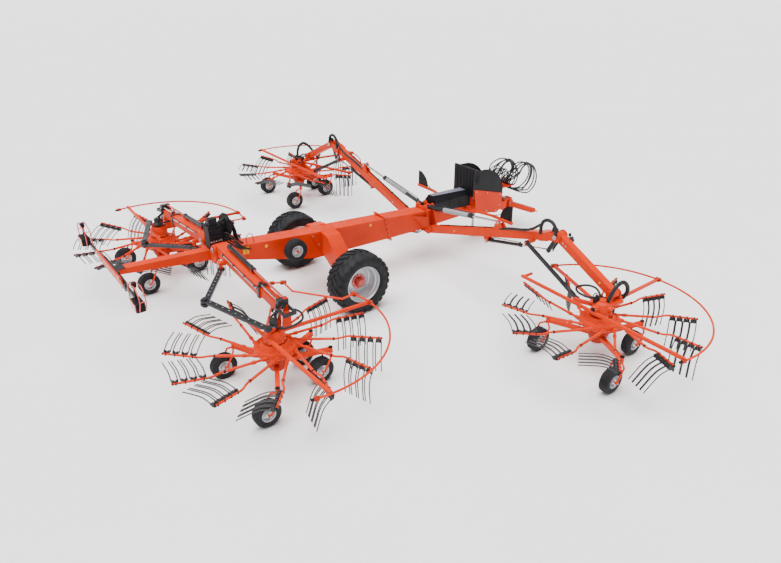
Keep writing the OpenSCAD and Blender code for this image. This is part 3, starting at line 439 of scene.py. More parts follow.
def make_reel(end, side_name, side):
    rot = ROTORS[end]
    arms, coils, wires, hub, caps = makers(5)
    centre = move(rot["x"], rot["y"], 0)
    along = Vector((cos(radians(SWEEP)), -sin(radians(SWEEP)), 0))
    bar_len = (rot["bar_r"] - DOGLEG_TO) / along.x
    pitch = (bar_len - LAST_INSET - FIRST_TINE) / (TINE_PAIRS - 1)
    bend = Vector((DOGLEG_TO, 0, DOGLEG))
    tip = bend + along * bar_len
    for i in range(rot["arms"]):
        bearing = (rot["phase"] + i * 360 / rot["arms"]) % 360
        at = centre @ turn("Z", bearing) @ move(0, LEAD, TUBE_Z) @ turn("X", -cam_roll(bearing))
        arms.tube(bent([(0.6, 0, 0), (DOGLEG_FROM, 0, 0), bend, tip], 0.07), BAR_D / 2, 14, at)
        arms.tube([(TUBE_FROM, 0, 0), (0.88, 0, 0), (0.9, 0, 0)], TUBE_D / 2, 16, at,
            radii=[TUBE_D / 2, TUBE_D / 2, BAR_D / 2])
        arms.disc(0.031, 0.4, 0.46, at @ turn("Y", 90), 20)
        caps.disc(0.027, 0.86, 0.885, at @ turn("Y", 90), 20)
        caps.tube([tip - along * 0.01, tip + along * 0.006], BAR_D / 2 + 0.002, 14, at)
        for k in range(TINE_PAIRS):
            tine_pair(coils, wires, FIRST_TINE + k * pitch, at @ move(*bend) @ turn("Z", -SWEEP))
    hub.shell([(0.082, 0.668), (0.306, 0.668), (0.33, 0.692), (0.33, 0.752), (0.318, 0.777), (0.3, 0.78),
        (0.298, 0.786), (0.292, 0.786), (0.29, 0.782), (0.268, 0.786), (0.266, 0.793), (0.26, 0.793),
        (0.258, 0.788), (0.236, 0.792), (0.234, 0.8), (0.226, 0.8), (0.214, 0.82), (0.2, 0.836),
        (0.196, 0.842), (0.082, 0.842)], 72, centre)
    for i in range(rot["arms"]):
        at = centre @ turn("Z", rot["phase"] + i * 360 / rot["arms"]) @ move(0, LEAD, TUBE_Z)
        hub.disc(0.034, 0.215, 0.3, at @ turn("Y", 90), 24, 0.005)
        for y in (-0.04, 0.04):
            caps.bolt(at @ Vector((0.16, y - 0.06, 0.06)), (0, 0, 1), 0.01, 0.01)
    body = f"reel_{end}_{side_name}"
    arms.make(f"{body}_arms", "orange", body, side, (body,))
    make_all(body, ((hub, "hub", "orange"), (coils, "coils", "coil"), (wires, "tines", "spring"),
        (caps, "caps", "black_plastic")), body, side)


# Wheels

CASTERS = ((-0.573, 0.74), (-0.573, -0.74), (0.605, 0.27), (0.605, -0.33))
SMALL_R, SMALL_W = 0.215, 0.16


def small_tyre(at):
    """Ribbed farm tyre about Z."""
    m = Maker()
    h = SMALL_W / 2
    crown = []
    ribs = ((-0.062, -0.036), (-0.03, -0.004), (0.004, 0.03), (0.036, 0.062))
    for a, b in ribs:
        low, high = SMALL_R - 0.01, SMALL_R - 0.001 - abs(a + b) * 0.04
        crown += [(low, a - 0.001), (high, a + 0.002), (high, b - 0.002), (low, b + 0.001)]
    profile = [(0.104, -h + 0.016), (0.118, -h + 0.004), (0.15, -h), (0.185, -h + 0.004), (0.2, -h + 0.014)]
    profile += crown + [(r, -z) for r, z in reversed(profile)]
    profile += [(0.1, h - 0.03), (0.1, -h + 0.03)]
    m.shell(profile, 64, at)
    return m


def small_rim(at):
    m = Maker()
    h = SMALL_W / 2
    m.shell([(0.104, -h + 0.008), (0.11, -h + 0.006), (0.11, -h + 0.02), (0.098, -h + 0.03),
        (0.098, h - 0.03), (0.11, h - 0.02), (0.11, h - 0.006), (0.104, h - 0.008), (0.092, h - 0.034),
        (0.088, 0.014), (0.06, 0.008), (0.048, 0.016), (0.046, h - 0.018), (0.013, h - 0.018),
        (0.013, -h + 0.018), (0.046, -h + 0.018), (0.048, -0.016), (0.06, -0.012), (0.088, -0.014),
        (0.092, -h + 0.034)], 48, at)
    for k in range(5):
        a = 2 * pi * k / 5
        for s in (-1, 1):
            m.bolt(at @ Vector((0.07 * cos(a), 0.07 * sin(a), s * 0.012)),
                at.to_3x3() @ Vector((0, 0, s)), 0.007, 0.008)
    return m


def make_small_wheels():
    for end, rot in ROTORS.items():
        for side_name, side in SIDES:
            for i, (fwd, out) in enumerate(CASTERS, 1):
                at = move(rot["x"] + fwd, rot["y"] - out, SMALL_R) @ turn("X", 90)
                body = f"wheel_{end}_{side_name}_{i}"
                small_tyre(at).make(f"{body}_tyre", "rubber", body, side, (body,))
                small_rim(at).make(f"{body}_rim", "silver", body, side)
    at = move(-0.87, -0.47, 1.18) @ turn("X", 90)
    small_tyre(at).make("spare_tyre", "rubber", replaces=("spare_wheel",))
    small_rim(at).make("spare_rim", "silver")


MAIN_R, MAIN_W, TRACK = 0.585, 0.49, 1.2


def make_main_wheel(side_name, side):
    body = f"main_wheel_{side_name}"
    at = move(0, -TRACK, MAIN_R) @ turn("X", 90)
    h = MAIN_W / 2
    tyre = Maker()
    flank = [(0.35, -0.18), (0.372, -h + 0.02), (0.44, -h), (0.52, -h + 0.012), (0.561, -0.19)]
    section = flank + [(0.566, 0)] + [(r, -z) for r, z in reversed(flank)]
    carcass = [(p.x, p.y) for p in bent([(r, z, 0) for r, z in section], 0.05, 4)]
    tyre.shell(carcass + [(0.3455, 0.16), (0.3455, -0.16)], 96, at)
    count = 26
    for row in (-1, 1):
        for k in range(count):
            a0 = 360 / count * (k + (0.5 if row > 0 else 0))
            lug = [(0.004, 0.0), (0.075, 0.055), (0.15, 0.105), (0.205, 0.135), (0.243, 0.15)]
            verts, faces = [], []
            for n, (z, back) in enumerate(lug):
                wide = 0.03 + 0.004 * n
                drop = max(0, z - 0.19) * 0.55 + max(0, z - 0.235) * 1.2
                for depth in (0.555 - drop, 0.5835 - drop - 0.01 * (z / 0.24) ** 3):
                    for edge in (-wide, wide):
                        ang = radians(a0) + (back + edge) / MAIN_R
                        verts.append((depth * cos(ang), depth * sin(ang), row * z))
            for n in range(len(lug) - 1):
                b, c = 4 * n, 4 * n + 4
                for p, q in ((0, 1), (1, 3), (3, 2), (2, 0)):
                    f = (b + p, b + q, c + q, c + p)
                    faces.append(f if row > 0 else f[::-1])
            last = 4 * (len(lug) - 1)
            ends = [(0, 2, 3, 1), (last, last + 1, last + 3, last + 2)]
            faces += ends if row > 0 else [e[::-1] for e in ends]
            tyre.add(verts, faces, at)
    tyre.make(f"{body}_tyre", "rubber", body, side, (f"main_tyre_{side_name}",), slot="tyre")
    rim = Maker()
    w = 0.185
    rim.shell([(0.0455, -0.03), (0.12, -0.03), (0.12, -0.06), (0.285, -0.09), (0.3, -0.1), (0.322, -w),
        (0.352, -w - 0.006), (0.352, -w + 0.012), (0.3445, -w + 0.02), (0.3445, w - 0.02),
        (0.352, w - 0.012), (0.352, w + 0.006), (0.343, w + 0.008), (0.33, w - 0.012), (0.322, 0.12),
        (0.308, 0.112), (0.303, 0.05), (0.29, 0.035), (0.285, -0.04), (0.262, -0.058),
        (0.235, -0.03), (0.17, -0.012), (0.135, -0.004), (0.128, 0.004), (0.0455, 0.004)], 72, at)
    rim.make(f"{body}_rim", "silver", body, side, (f"main_rim_{side_name}",))
    hub = Maker()
    hub.shell([(0.0455, 0.004), (0.15, 0.004), (0.15, 0.014), (0.098, 0.02), (0.092, 0.07), (0.075, 0.086),
        (0.072, 0.105), (0.06, 0.112), (0.0455, 0.112)], 40, at)
    hub.disc(0.044, 0.066, 0.11, at, 24)
    hub.make(f"{body}_hub", "red_paint", body, side)
    bolts = Maker()
    bolts.bolt_ring(8, 0.126, 0.013, at, (0, -1, 0), 0.012, 0.016)
    bolts.make(f"{body}_nuts", "zinc", body, side)


# Rotor heads and their guards

HOOPS = {"front": dict(r=1.66, ends=(258.6, 68), joints=(3, 68)),
    "rear": dict(r=1.74, ends=(259, 65), joints=(0, 12.8, 57.2))}
HOOP_Z = 0.93


def dress_carriage(end, side_name, side):
    """Flanges, bolts, clamps and caps that all four carriages have."""
    rot, hoop = ROTORS[end], HOOPS[end]
    body = f"carriage_front_{side_name}" if end == "front" else f"rear_slide_{side_name}"
    at = move(rot["x"], rot["y"], 0)
    cast, clamp, black, nuts, drum = makers(5)

    def on_hoop(bearing, out=0, up=0):
        a, r = radians(bearing), hoop["r"] + out
        return Vector((rot["x"] + r * cos(a), rot["y"] + r * sin(a), HOOP_Z + up))

    for inner, outer, low, high in ((0.158, 0.174, 0.862, 0.88), (0.158, 0.171, 0.93, 0.94),
            (0.185, 0.2, 0.64, 0.66), (0.185, 0.196, 0.548, 0.562)):
        cast.shell([(inner, low), (outer - 0.002, low), (outer, low + 0.003), (outer, high - 0.003),
            (outer - 0.002, high), (inner, high)], 64, at)
    drum.shell([(0.1, 0.352), (0.112, 0.349), (0.1925, 0.544), (0.1925, 0.6), (0.18, 0.6), (0.18, 0.544),
        (0.104, 0.36)], 64, at)
    nuts.bolt_ring(10, 0.166, 0.88, at, (0, 0, 1), 0.008, 0.008)
    for k in range(10):
        cast.block((0.055, 0.012, 0.085), at @ turn("Z", 36 * k + 18) @ move(0.168, 0, 0.59), 0.003)
    for bearing in hoop["joints"]:
        clamp.block((0.08, 0.11, 0.058), move(*on_hoop(bearing)) @ turn("Z", bearing), 0.008)
        for e in (-0.035, 0.035):
            nuts.bolt(on_hoop(bearing + e * 34, 0.018, 0.029), (0, 0, 1), 0.008, 0.009)
    for bearing, step in zip(hoop["ends"], (-1, 1)):
        clamp.block((0.06, 0.08, 0.054), move(*on_hoop(bearing - step * 1.5)) @ turn("Z", bearing), 0.007)
        black.bar(on_hoop(bearing - step * 0.3), on_hoop(bearing + step * 1.2), 0.022)
    for fwd, out in CASTERS:
        pin = (rot["x"] + fwd + 0.2, rot["y"] - out)
        black.disc(0.037, 0.553, 0.566, move(*pin, 0), 24)
        black.disc(0.038, 0.47, 0.486, move(*pin, 0), 24)
        for e in (-1, 1):
            nuts.bolt((rot["x"] + fwd, rot["y"] - out + e * 0.126, SMALL_R), (0, e, 0), 0.013, 0.014)
    make_all(f"head_{end}_{side_name}", ((drum, "drum", "deep_orange"), (cast, "cast", "orange")), body, side)
    make_all(f"hoop_{end}_{side_name}", ((clamp, "clamps", "deep_orange"),
        (black, "caps", "black_plastic")), body, side)
    nuts.make(f"head_{end}_{side_name}_bolts", "zinc", body, side)


def dress_front_head(side_name, side):
    body = f"carriage_front_{side_name}"
    rot = ROTORS["front"]
    at = move(rot["x"], rot["y"], 0)
    cast, black, hoses, nuts = makers(4)
    cast.lathe([(0.136, 1.036), (0.128, 1.062), (0.1, 1.08), (0.066, 1.086), (0.062, 1.11), (0.05, 1.116)],
        48, at)
    for turned, reach, r in ((180, 0.225, 0.062), (-90, 0.215, 0.052), (110, 0.205, 0.046)):
        boss = at @ turn("Z", turned) @ move(0, 0, 0.995) @ turn("Y", 90)
        cast.disc(r, 0.08, reach, boss, 32, 0.006)
        black.disc(r * 0.62, reach - 0.002, reach + 0.008, boss, 24)
        nuts.bolt_ring(6, r * 0.8, reach, boss, boss.to_3x3() @ Vector((0, 0, 1)), 0.005, 0.006)
    black.block((0.09, 0.075, 0.105), at @ move(-0.07, 0.075, 1.085), 0.01)
    black.disc(0.03, 1.13, 1.17, at @ move(-0.07, 0.075, 0), 20)
    black.block((0.06, 0.11, 0.08), at @ move(0.085, 0.085, 1.065), 0.008)
    hoses.hose([(2.2, -4.85, 1.08), (2.262, -4.8, 1.16), (2.294, -4.68, 1.2), (2.238, -4.55, 1.205),
        (2.08, -4.49, 1.195), (1.982, -4.59, 1.18), (1.99, -4.76, 1.165), (2.09, -4.85, 1.15),
        (2.144, -4.85, 1.09)], 0.019, 8, 14)
    hoses.ribbed(spline([(2.25, -4.975, 1.04), (2.262, -5.01, 1.19), (2.34, -5.035, 1.34),
        (2.47, -5.045, 1.39), (2.61, -5.04, 1.3), (2.72, -5.005, 1.15), (2.78, -4.94, 1.02),
        (2.8, -4.89, 0.972)]), 0.03)
    for k, y in enumerate((-4.8, -4.76, -4.72)):
        hoses.hose([(2.255, y, 0.975), (2.262 - 0.03 * k, y - 0.02, 1.075 + 0.02 * k),
            (2.215, y - 0.06, 1.1 + 0.03 * k), (2.16, -4.86, 1.11)], 0.01)
    black.block((0.07, 0.075, 0.07), move(2.8, -4.889, 0.958) @ turn("Z", 3), 0.008)
    make_all(f"head_front_{side_name}", ((cast, "dome", "orange"), (black, "valves", "black_plastic"),
        (hoses, "hoses", "hose"), (nuts, "nuts", "zinc")), body, side)


# Front arms, their link and cylinders

ARM_X = 2.55
KNEE, ARM_END = Vector((ARM_X, -3.644, 1.683)), Vector((ARM_X, -4.87, 1.08))


def arm_top(out):
    """Height of the inner front arm's top face at a distance out."""
    return 0.68 + (out - 0.25) * 0.2955 + 0.0785


def dress_front_arm(side_name, side):
    hoses, black, nuts, amber = makers(4)
    body = f"front_arm_{side_name}"
    x = 2.442
    arch = [(x, -3.479 + 0.165 * cos(pi * k / 20), 1.775 + 0.165 * sin(pi * k / 20)) for k in range(21)]
    hoses.ribbed([(x, -3.314, 1.64)] + arch + [(x, -3.644, 1.716)], 0.029, 0.024, 0.13)
    hoses.ribbed(spline([(2.5, -2.3, arm_top(2.3) + 0.004), (2.49, -2.48, arm_top(2.48) + 0.03),
        (2.47, -2.7, arm_top(2.7) + 0.034), (2.452, -2.95, arm_top(2.95) + 0.03),
        (x, -3.15, 1.69), (x, -3.26, 1.78)], 8) + [(x, -3.3, 1.8)], 0.022, 0.022, 0.13)
    for k in range(2):
        xx = 2.594 + 0.022 * k
        hoses.tube([(xx, -o, arm_top(o) + 0.006) for o in (0.46, 0.9, 1.4, 1.9, 2.4, 2.8, 3.0)], 0.008, 8)
    for out in (0.7, 1.25, 1.8, 2.35, 2.8):
        black.block((0.06, 0.026, 0.02), move(2.604, -out, arm_top(out) + 0.006) @ turn("X", -16.5), 0.003)
    for e in (-1, 1):
        disc = move(ARM_X + e * 0.124, -3.644, 1.683) @ turn("Y", 90 * e)
        nuts.disc(0.04, 0, 0.014, disc, 24)
        nuts.bolt(disc @ Vector((0, 0, 0.014)), (e, 0, 0), 0.014, 0.012)
    black.block((0.06, 0.11, 0.075), move(2.478, -3.6, 1.8), 0.008)
    for out, z in ((2.23, 1.48), (1.95, 1.015)):
        for e in (-1, 1):
            nuts.disc(0.03, 0, 0.01, move(ARM_X + e * 0.064, -out, z) @ turn("Y", 90 * e), 20)
    amber.disc(0.022, 0, 0.008, move(2.475, -1.05, 0.915) @ turn("Y", -90), 20)
    make_all(f"arm_{side_name}", ((hoses, "hoses", "hose"), (black, "clips", "black_plastic"),
        (nuts, "pins", "zinc"), (amber, "reflector", "amber_lens")), body, side)

    body = f"front_outer_arm_{side_name}"
    amber, bolts, lever = makers(3)
    spot = KNEE.lerp(ARM_END, 0.8)
    amber.disc(0.024, 0, 0.008, move(ARM_X - 0.066, spot.y, spot.z) @ turn("Y", -90), 20)
    for f in (0.12, 0.17):
        p = KNEE.lerp(ARM_END, f)
        for e in (-1, 1):
            bolts.bolt((ARM_X + e * 0.066, p.y, p.z), (e, 0, 0), 0.012, 0.012)
    lever.block((0.09, 0.11, 0.1), move(2.655, -3.8, 1.64) @ turn("X", -26), 0.01)
    lever.disc(0.026, 0, 0.05, move(2.68, -3.76, 1.69), 20)
    for e in (-1, 1):
        foot = (ARM_X + e * 0.045, -3.48, 1.365)
        lever.beam((foot[0], -3.62, 1.636), foot, 0.027, 0.082, 0.006)
        lever.disc(0.046, -0.014, 0.014, move(*foot) @ turn("Y", 90), 28)
    make_all(f"outer_arm_{side_name}", ((lever, "levers", "dark_paint"), (amber, "reflector", "amber_lens"),
        (bolts, "bolts", "zinc")), body, side)

    link = Maker()
    a, b = Vector((2.355, -3.1, 1.42)), Vector((2.355, -4.326, 0.817))
    at = look(a, b)
    run = (b - a).length
    for k in range(34):
        link.block((0.014, 0.05, 0.07), at @ move(0.1 + (run - 0.42) * k / 33, 0, 0), 0.003)
    link.block((0.24, 0.052, 0.084), at @ move(run - 0.19, 0, 0), 0.012)
    link.make(f"link_{side_name}_ribs", "dark_paint", f"front_link_{side_name}", side)

    for name, pivot, eye, run, r in (
            ("lift", (ARM_X, -0.12, 1.14), (ARM_X, -2.23, 1.48), 1.38, 0.045),
            ("knee", (ARM_X, -1.95, 1.015), (ARM_X, -3.48, 1.365), 0.9, 0.033)):
        at = look(pivot, eye) @ turn("Y", 90)
        dark, sleeve = makers(2)
        dark.shell([(r - 0.004, run - 0.06), (r + 0.007, run - 0.056), (r + 0.007, run - 0.002),
            (r - 0.004, run)], 32, at)
        dark.shell([(r - 0.004, 0.11), (r + 0.005, 0.112), (r + 0.005, 0.15), (r - 0.004, 0.152)], 32, at)
        for s in (0.135, run - 0.04):
            dark.block((0.034, 0.034, 0.03), at @ move(-r - 0.01, 0, s), 0.004)
        pipe = ((-r - 0.02, 0, 0.135), (-r - 0.03, 0.012, 0.2), (-r - 0.012, 0.012, run - 0.12),
            (-r - 0.016, 0, run - 0.04))
        dark.tube(bent([at @ Vector(p) for p in pipe], 0.03), 0.008, 10)
        if name == "lift":
            profile = []
            for k in range(40):
                z = 0.52 + k * 0.019
                low, high = r + 0.001, r + 0.0065
                profile += [(low, z), (high, z + 0.004), (high, z + 0.011), (low, z + 0.015)]
            sleeve.shell([(r - 0.006, 0.52)] + profile + [(r - 0.006, profile[-1][1])], 28, at)
            sleeve.make(f"lift_{side_name}_sleeve", "grey_sleeve", f"lift_barrel_{side_name}", side)
        dark.make(f"{name}_{side_name}_gland", "dark_paint", f"{name}_barrel_{side_name}", side)


# Rear arms, their telescope and scissor

REAR_PIVOT = (-2.2, -0.25, 1.5)
REAR = move(*REAR_PIVOT) @ turn("X", 5) @ turn("Z", -90)
# Along the arm: its end collar and the end of the sliding tube
COLLAR_AT, SLIDE_TO = 1.606, 2.2586


def rear_rod(maker, start, end, fore, up, r, sides):
    """Rod beside the rear arm, from start to end along it."""
    maker.tube([REAR @ Vector((s, fore, up)) for s in (start, end)], r, sides)


def dress_rear_arm(side_name, side):
    body = f"rear_arm_{side_name}"
    dark, steel, nuts, caps = makers(4)
    lie = REAR @ move(0, 0.045, 0.15) @ turn("Y", 90)
    dark.shell([(0.021, 0.29), (0.0385, 0.292), (0.0385, 1.15), (0.044, 1.154), (0.044, 1.208),
        (0.021, 1.21)], 32, lie)
    dark.disc(0.044, 0.28, 0.33, lie, 28)
    for s in (0.35, 1.13):
        dark.block((0.03, 0.03, 0.034), lie @ move(-0.046, 0, s), 0.004)
    for u in (0.097, -0.097):
        dark.block((0.075, 0.208, 0.014), REAR @ move(COLLAR_AT, 0, u), 0.004)
    for f in (-0.097, 0.097):
        dark.block((0.075, 0.014, 0.18), REAR @ move(COLLAR_AT, f, 0), 0.004)
    dark.block((0.05, 0.06, 0.07), REAR @ move(COLLAR_AT, -0.05, 0.13), 0.006)
    rear_rod(steel, 0.3, 1.57, -0.104, 0.05, 0.012, 12)
    for s in (0.35, 0.75, 1.15, 1.5):
        dark.block((0.03, 0.036, 0.036), REAR @ move(s, -0.104, 0.05), 0.004)
    for e in (-1, 1):
        disc = move(REAR_PIVOT[0] + e * 0.15, *REAR_PIVOT[1:]) @ turn("Y", 90 * e)
        nuts.disc(0.052, 0.0, 0.01, disc, 28)
        nuts.bolt(disc @ Vector((0, 0, 0.01)), (e, 0, 0), 0.016, 0.014)
    for s in (0.22, 0.28):
        for f in (-0.06, 0.06):
            caps.bolt(REAR @ Vector((s, f, 0.09)), (0, 0, 1), 0.01, 0.01)
    make_all(f"rear_arm_{side_name}", ((dark, "cylinder", "dark_paint"),
        (steel, "pipe", "chrome")), body, side)
    nuts.make(f"rear_pivot_{side_name}_discs", "zinc", "chassis", side)
    caps.make(f"rear_arm_{side_name}_bolts", "zinc", body, side)

    body = f"rear_slide_{side_name}"
    steel, dark, red, hoses = makers(4)
    rear_rod(steel, 0.905, SLIDE_TO - 0.075, 0.045, 0.15, 0.02012, 20)
    rear_rod(steel, 1.56, SLIDE_TO - 0.02, -0.05, 0.13, 0.013, 14)
    dark.block((0.095, 0.18, 0.112), REAR @ move(SLIDE_TO - 0.05, 0.0, 0.124), 0.01)
    for f in (-0.088, 0.088):
        rear_rod(dark, SLIDE_TO - 0.098, SLIDE_TO + 0.19, f, 0.03, 0.024, 16)
        dark.block((0.04, 0.05, 0.09), REAR @ move(SLIDE_TO - 0.06, f * 0.93, 0.052), 0.006)
    dark.block((0.03, 0.22, 0.07), REAR @ move(SLIDE_TO + 0.185, 0, 0.03), 0.008)
    for e in (-1, 1):
        foot, head = -2.5 + e * 0.05, -2.505 + e * 0.062
        steel.tube([(-2.29, foot, 1.06), (-2.26, head, 1.4)], 0.014, 14)
        dark.disc(0.026, -0.016, 0.016, move(-2.26, head, 1.4) @ turn("X", 90), 20)
        dark.block((0.06, 0.034, 0.05), move(-2.29, foot, 1.062), 0.006)
        dark.beam((-2.262, head, 1.4), (-2.2, -2.505 + e * 0.05, 1.39), 0.022, 0.04)
    rot = ROTORS["rear"]
    dark.lathe([(0.074, 1.036), (0.078, 1.05), (0.078, 1.11), (0.064, 1.12), (0.064, 1.2), (0.056, 1.214),
        (0.03, 1.218)], 36, move(rot["x"], rot["y"], 0))
    red.block((0.12, 0.11, 0.095), move(-2.3, -2.5, 1.086), 0.01)
    red.block((0.08, 0.07, 0.06), move(-2.31, -2.5, 1.155), 0.008)
    hoses.hose([(-2.38, -2.56, 1.09), (-2.35, -2.7, 1.13), (-2.2, -2.77, 1.165), (-2.02, -2.72, 1.185),
        (-1.945, -2.55, 1.195), (-2.0, -2.37, 1.195), (-2.16, -2.29, 1.185), (-2.33, -2.33, 1.16),
        (-2.392, -2.435, 1.13)], 0.018, 8, 14)
    for k in range(3):
        hoses.hose([(-2.345, -2.46 - 0.03 * k, 1.18), (-2.33, -2.44 - 0.03 * k, 1.27),
            (-2.27, -2.44 - 0.02 * k, 1.3), (-2.21, -2.45 - 0.02 * k, 1.275)], 0.01)
    make_all(f"slide_{side_name}", ((steel, "rods", "chrome"), (dark, "bracket", "dark_paint"),
        (red, "valve", "deep_orange"), (hoses, "hoses", "hose")), body, side)

    root, elbow, end = (0.33, -0.15), (1.18, -0.8), (2.37, -0.33)
    for name, a, b, top, low in (("inner", root, elbow, -0.191, -0.237),
            ("outer", elbow, end, -0.135, -0.181)):
        ribs, holes = makers(2)
        run = dist(a, b)
        at = REAR @ move(a[0], a[1], 0) @ turn("Z", degrees(atan2(b[1] - a[1], b[0] - a[0])))
        for e in (-1, 1):
            ribs.block((run - 0.16, 0.012, 0.048), at @ move(run / 2, e * 0.04, (top + low) / 2), 0.003)
        for k in range(9):
            hole = at @ move(0.12 + (run - 0.24) * k / 8, 0, 0)
            ribs.shell([(0.012, top - 0.005), (0.02, top - 0.005), (0.02, top + 0.0015),
                (0.012, top + 0.0015)], 20, hole)
            holes.disc(0.0125, top - 0.006, top - 0.0005, hole, 16, 0.001)
        ends = ((elbow, 0.074),) if name == "inner" else ((elbow, 0.07), (end, 0.062))
        for p, r in ends:
            ribs.disc(r, low + 0.002, top - 0.002, REAR @ move(*p, 0), 32, 0.006)
        if name == "inner":
            ribs.disc(0.044, -0.129, -0.108, REAR @ move(*elbow, 0), 24, 0.006)
            ribs.disc(0.05, -0.262, -0.238, REAR @ move(*elbow, 0), 24, 0.006)
            ribs.disc(0.06, low + 0.002, top - 0.002, REAR @ move(*root, 0), 32, 0.006)
        make_all(f"scissor_{name}_{side_name}", ((ribs, "ribs", "dark_paint"),
            (holes, "holes", "grey_sleeve")), f"rear_link_{name}_{side_name}", side)


# Chassis

def loft(maker, sections):
    """Closed solid through sections with the same number of points."""
    n = len(sections[0])
    faces = [tuple(reversed(range(n))), tuple(range((len(sections) - 1) * n, len(sections) * n))]
    maker.add([p for s in sections for p in s], faces + bands(len(sections), n))


def dress_beam():
    plates, nuts, yellow, dark, hoses = makers(5)
    for s in (-1, 1):
        outline = [(-0.4, 1.255), (-0.18, 1.245), (0.1, 1.215), (0.3, 0.8), (0.27, 0.765), (-0.09, 0.765),
            (-0.13, 0.8)]
        plates.plate(outline, 0.014, move(0, s * 0.177, 0) @ turn("X", 90))
        for x, z in ((-0.33, 1.215), (0.06, 1.18), (0.235, 0.83), (-0.08, 0.82), (-0.2, 1.02), (0.15, 1.01)):
            nuts.bolt((x, s * 0.184, z), (0, s, 0), 0.014, 0.014)
        for k in range(6):
            f = k / 5
            nuts.bolt((1.338 + 0.152 * f, s * 0.182, 1.19 - 0.51 * f), (-0.96, 0, -0.27), 0.011, 0.012)
        gusset = [Vector((x, s * y, z)) for x, y, z in ((2.08, 0.168, 1.052), (2.436, 0.262, 0.985),
            (2.436, 0.262, 0.735), (2.36, 0.168, 0.74))][::s]
        lift = Vector((0, s * 0.014, 0.004))
        loft(plates, [gusset, [p + lift for p in gusset]])
    for x, z in ((-1.302, 1.273), (1.003, 1.112)):
        for s in (-1, 1):
            yellow.disc(0.03, 0, 0.007, move(x, s * 0.17, z) @ turn("X", -90 * s), 24)
    for s in (-1, 1):
        for x in (-1.735, -1.67):
            yellow.block((0.05, 0.008, 0.14), move(x, s * 0.172, 1.29), 0.002)
    for k in range(9):
        nuts.bolt((-0.3 + 0.2 * k, 0.0, 1.2745 - 0.0135 * k), (0, 0, 1), 0.01, 0.01)
    for k in range(4):
        z = 0.02 * k
        hoses.tube([(-1.9, 0.183, 1.3 + z), (-1.3, 0.183, 1.16 + z), (-0.45, 0.183, 1.02 + z),
            (0.5, 0.192, 0.955 + z), (1.2, 0.192, 0.93 + z), (1.4, 0.206, 0.925 + z), (1.7, 0.186, 0.915 + z),
            (2.2, 0.186, 0.9 + z)], 0.01, 10)
    for x, z in ((-1.5, 1.236), (-0.7, 1.085), (0.8, 0.972), (1.95, 0.936)):
        dark.block((0.03, 0.05, 0.11), move(x, 0.192, z), 0.004)
    for k, y in enumerate((-0.09, -0.03, 0.03, 0.09)):
        hoses.hose([(2.1, y, 0.712), (2.17, y, 0.65), (2.27, y, 0.605 - 0.015 * k), (2.37, y, 0.612),
            (2.44, y, 0.655), (2.48, y, 0.665)], 0.012)
    hoses.hose([(-0.05, -0.17, 0.9), (0.02, -0.26, 0.86), (0.16, -0.36, 0.76), (0.17, -0.46, 0.8),
        (0.14, -0.6, 0.83)], 0.01)
    make_all("beam", ((plates, "plates", "orange"), (nuts, "bolts", "zinc"), (yellow, "reflectors", "yellow"),
        (dark, "clips", "black_plastic"), (hoses, "hoses", "hose")))


def dress_driveline():
    sheen_top, rims, nuts, panel = makers(4)

    def top(x):
        return 1.33 - 0.04 * (x - 2.697) / 0.998

    def half(x):
        return 0.07 + (1.335 - top(x)) / 1.227

    # A thin skin over the cover's top face, coloured with a painted sky sheen
    sections = []
    for x in (2.715, 3.0, 3.3, 3.62):
        w, z = half(x) - 0.01, top(x)
        sections.append([Vector((x, y, z + up)) for y, up in ((-w, -0.004), (w, -0.004), (w - 0.004, 0.004),
            (0.004 - w, 0.004))])
    loft(sheen_top, sections)
    for s in (-1, 1):
        for x in (2.8, 3.1, 3.4):
            rims.block((0.016, 0.008, 0.24), move(x, s * 0.181, 1.08), 0.002)
        rims.block((0.9, 0.01, 0.026), move(3.15, s * 0.181, 1.185), 0.004)
        arc = [(3.662, 1.732), (3.8, 1.734), (3.935, 1.73)]
        arc += [(3.935 + 0.64 * sin(radians(a)), 1.09 + 0.64 * cos(radians(a))) for a in range(6, 90, 6)]
        rims.tube([(x, s * 0.3, z) for x, z in arc], 0.014, 10)
        rims.tube([(3.66 + 0.92 * k / 6, s * 0.308, 1.35 - 0.26 * k / 6) for k in range(7)], 0.008, 8)
        for k in range(4):
            rims.block((0.01, 0.012, 0.2), move(3.72 + 0.03 * k, s * 0.309, 1.56), 0.003)
        rims.block((0.04, 0.03, 0.6), move(3.655, s * 0.3, 1.49), 0.006)
        edge = [(3.69, 1.325), (4.56, 1.08), (4.56, 0.775), (4.425, 0.655), (3.79, 0.78), (3.69, 1.325)]
        for (x0, z0), (x1, z1) in zip(edge, edge[1:]):
            panel.tube([(x0, s * 0.31, z0), (x1, s * 0.31, z1)], 0.007, 8)
        for x, z in ((3.76, 1.27), (4.5, 1.06), (4.51, 0.8), (4.4, 0.7), (3.83, 0.81), (4.1, 1.18),
                (4.1, 0.76)):
            nuts.bolt((x, s * 0.312, z), (0, s, 0), 0.01, 0.008)
    rims.block((0.2, 0.56, 0.012), move(3.78, 0, 1.712), 0.004)
    for y in (-0.2, -0.1, 0, 0.1, 0.2):
        rims.block((0.012, 0.016, 0.56), move(3.632, y, 1.49), 0.004)
    # The top face of the driveline cover gets the painted sheen
    sheen_top.make("driveline_top", "painted_sheen_top")
    rims.make("hood_rims", "black_plastic")
    make_all("shield", ((panel, "rims", "orange"), (nuts, "bolts", "zinc")))


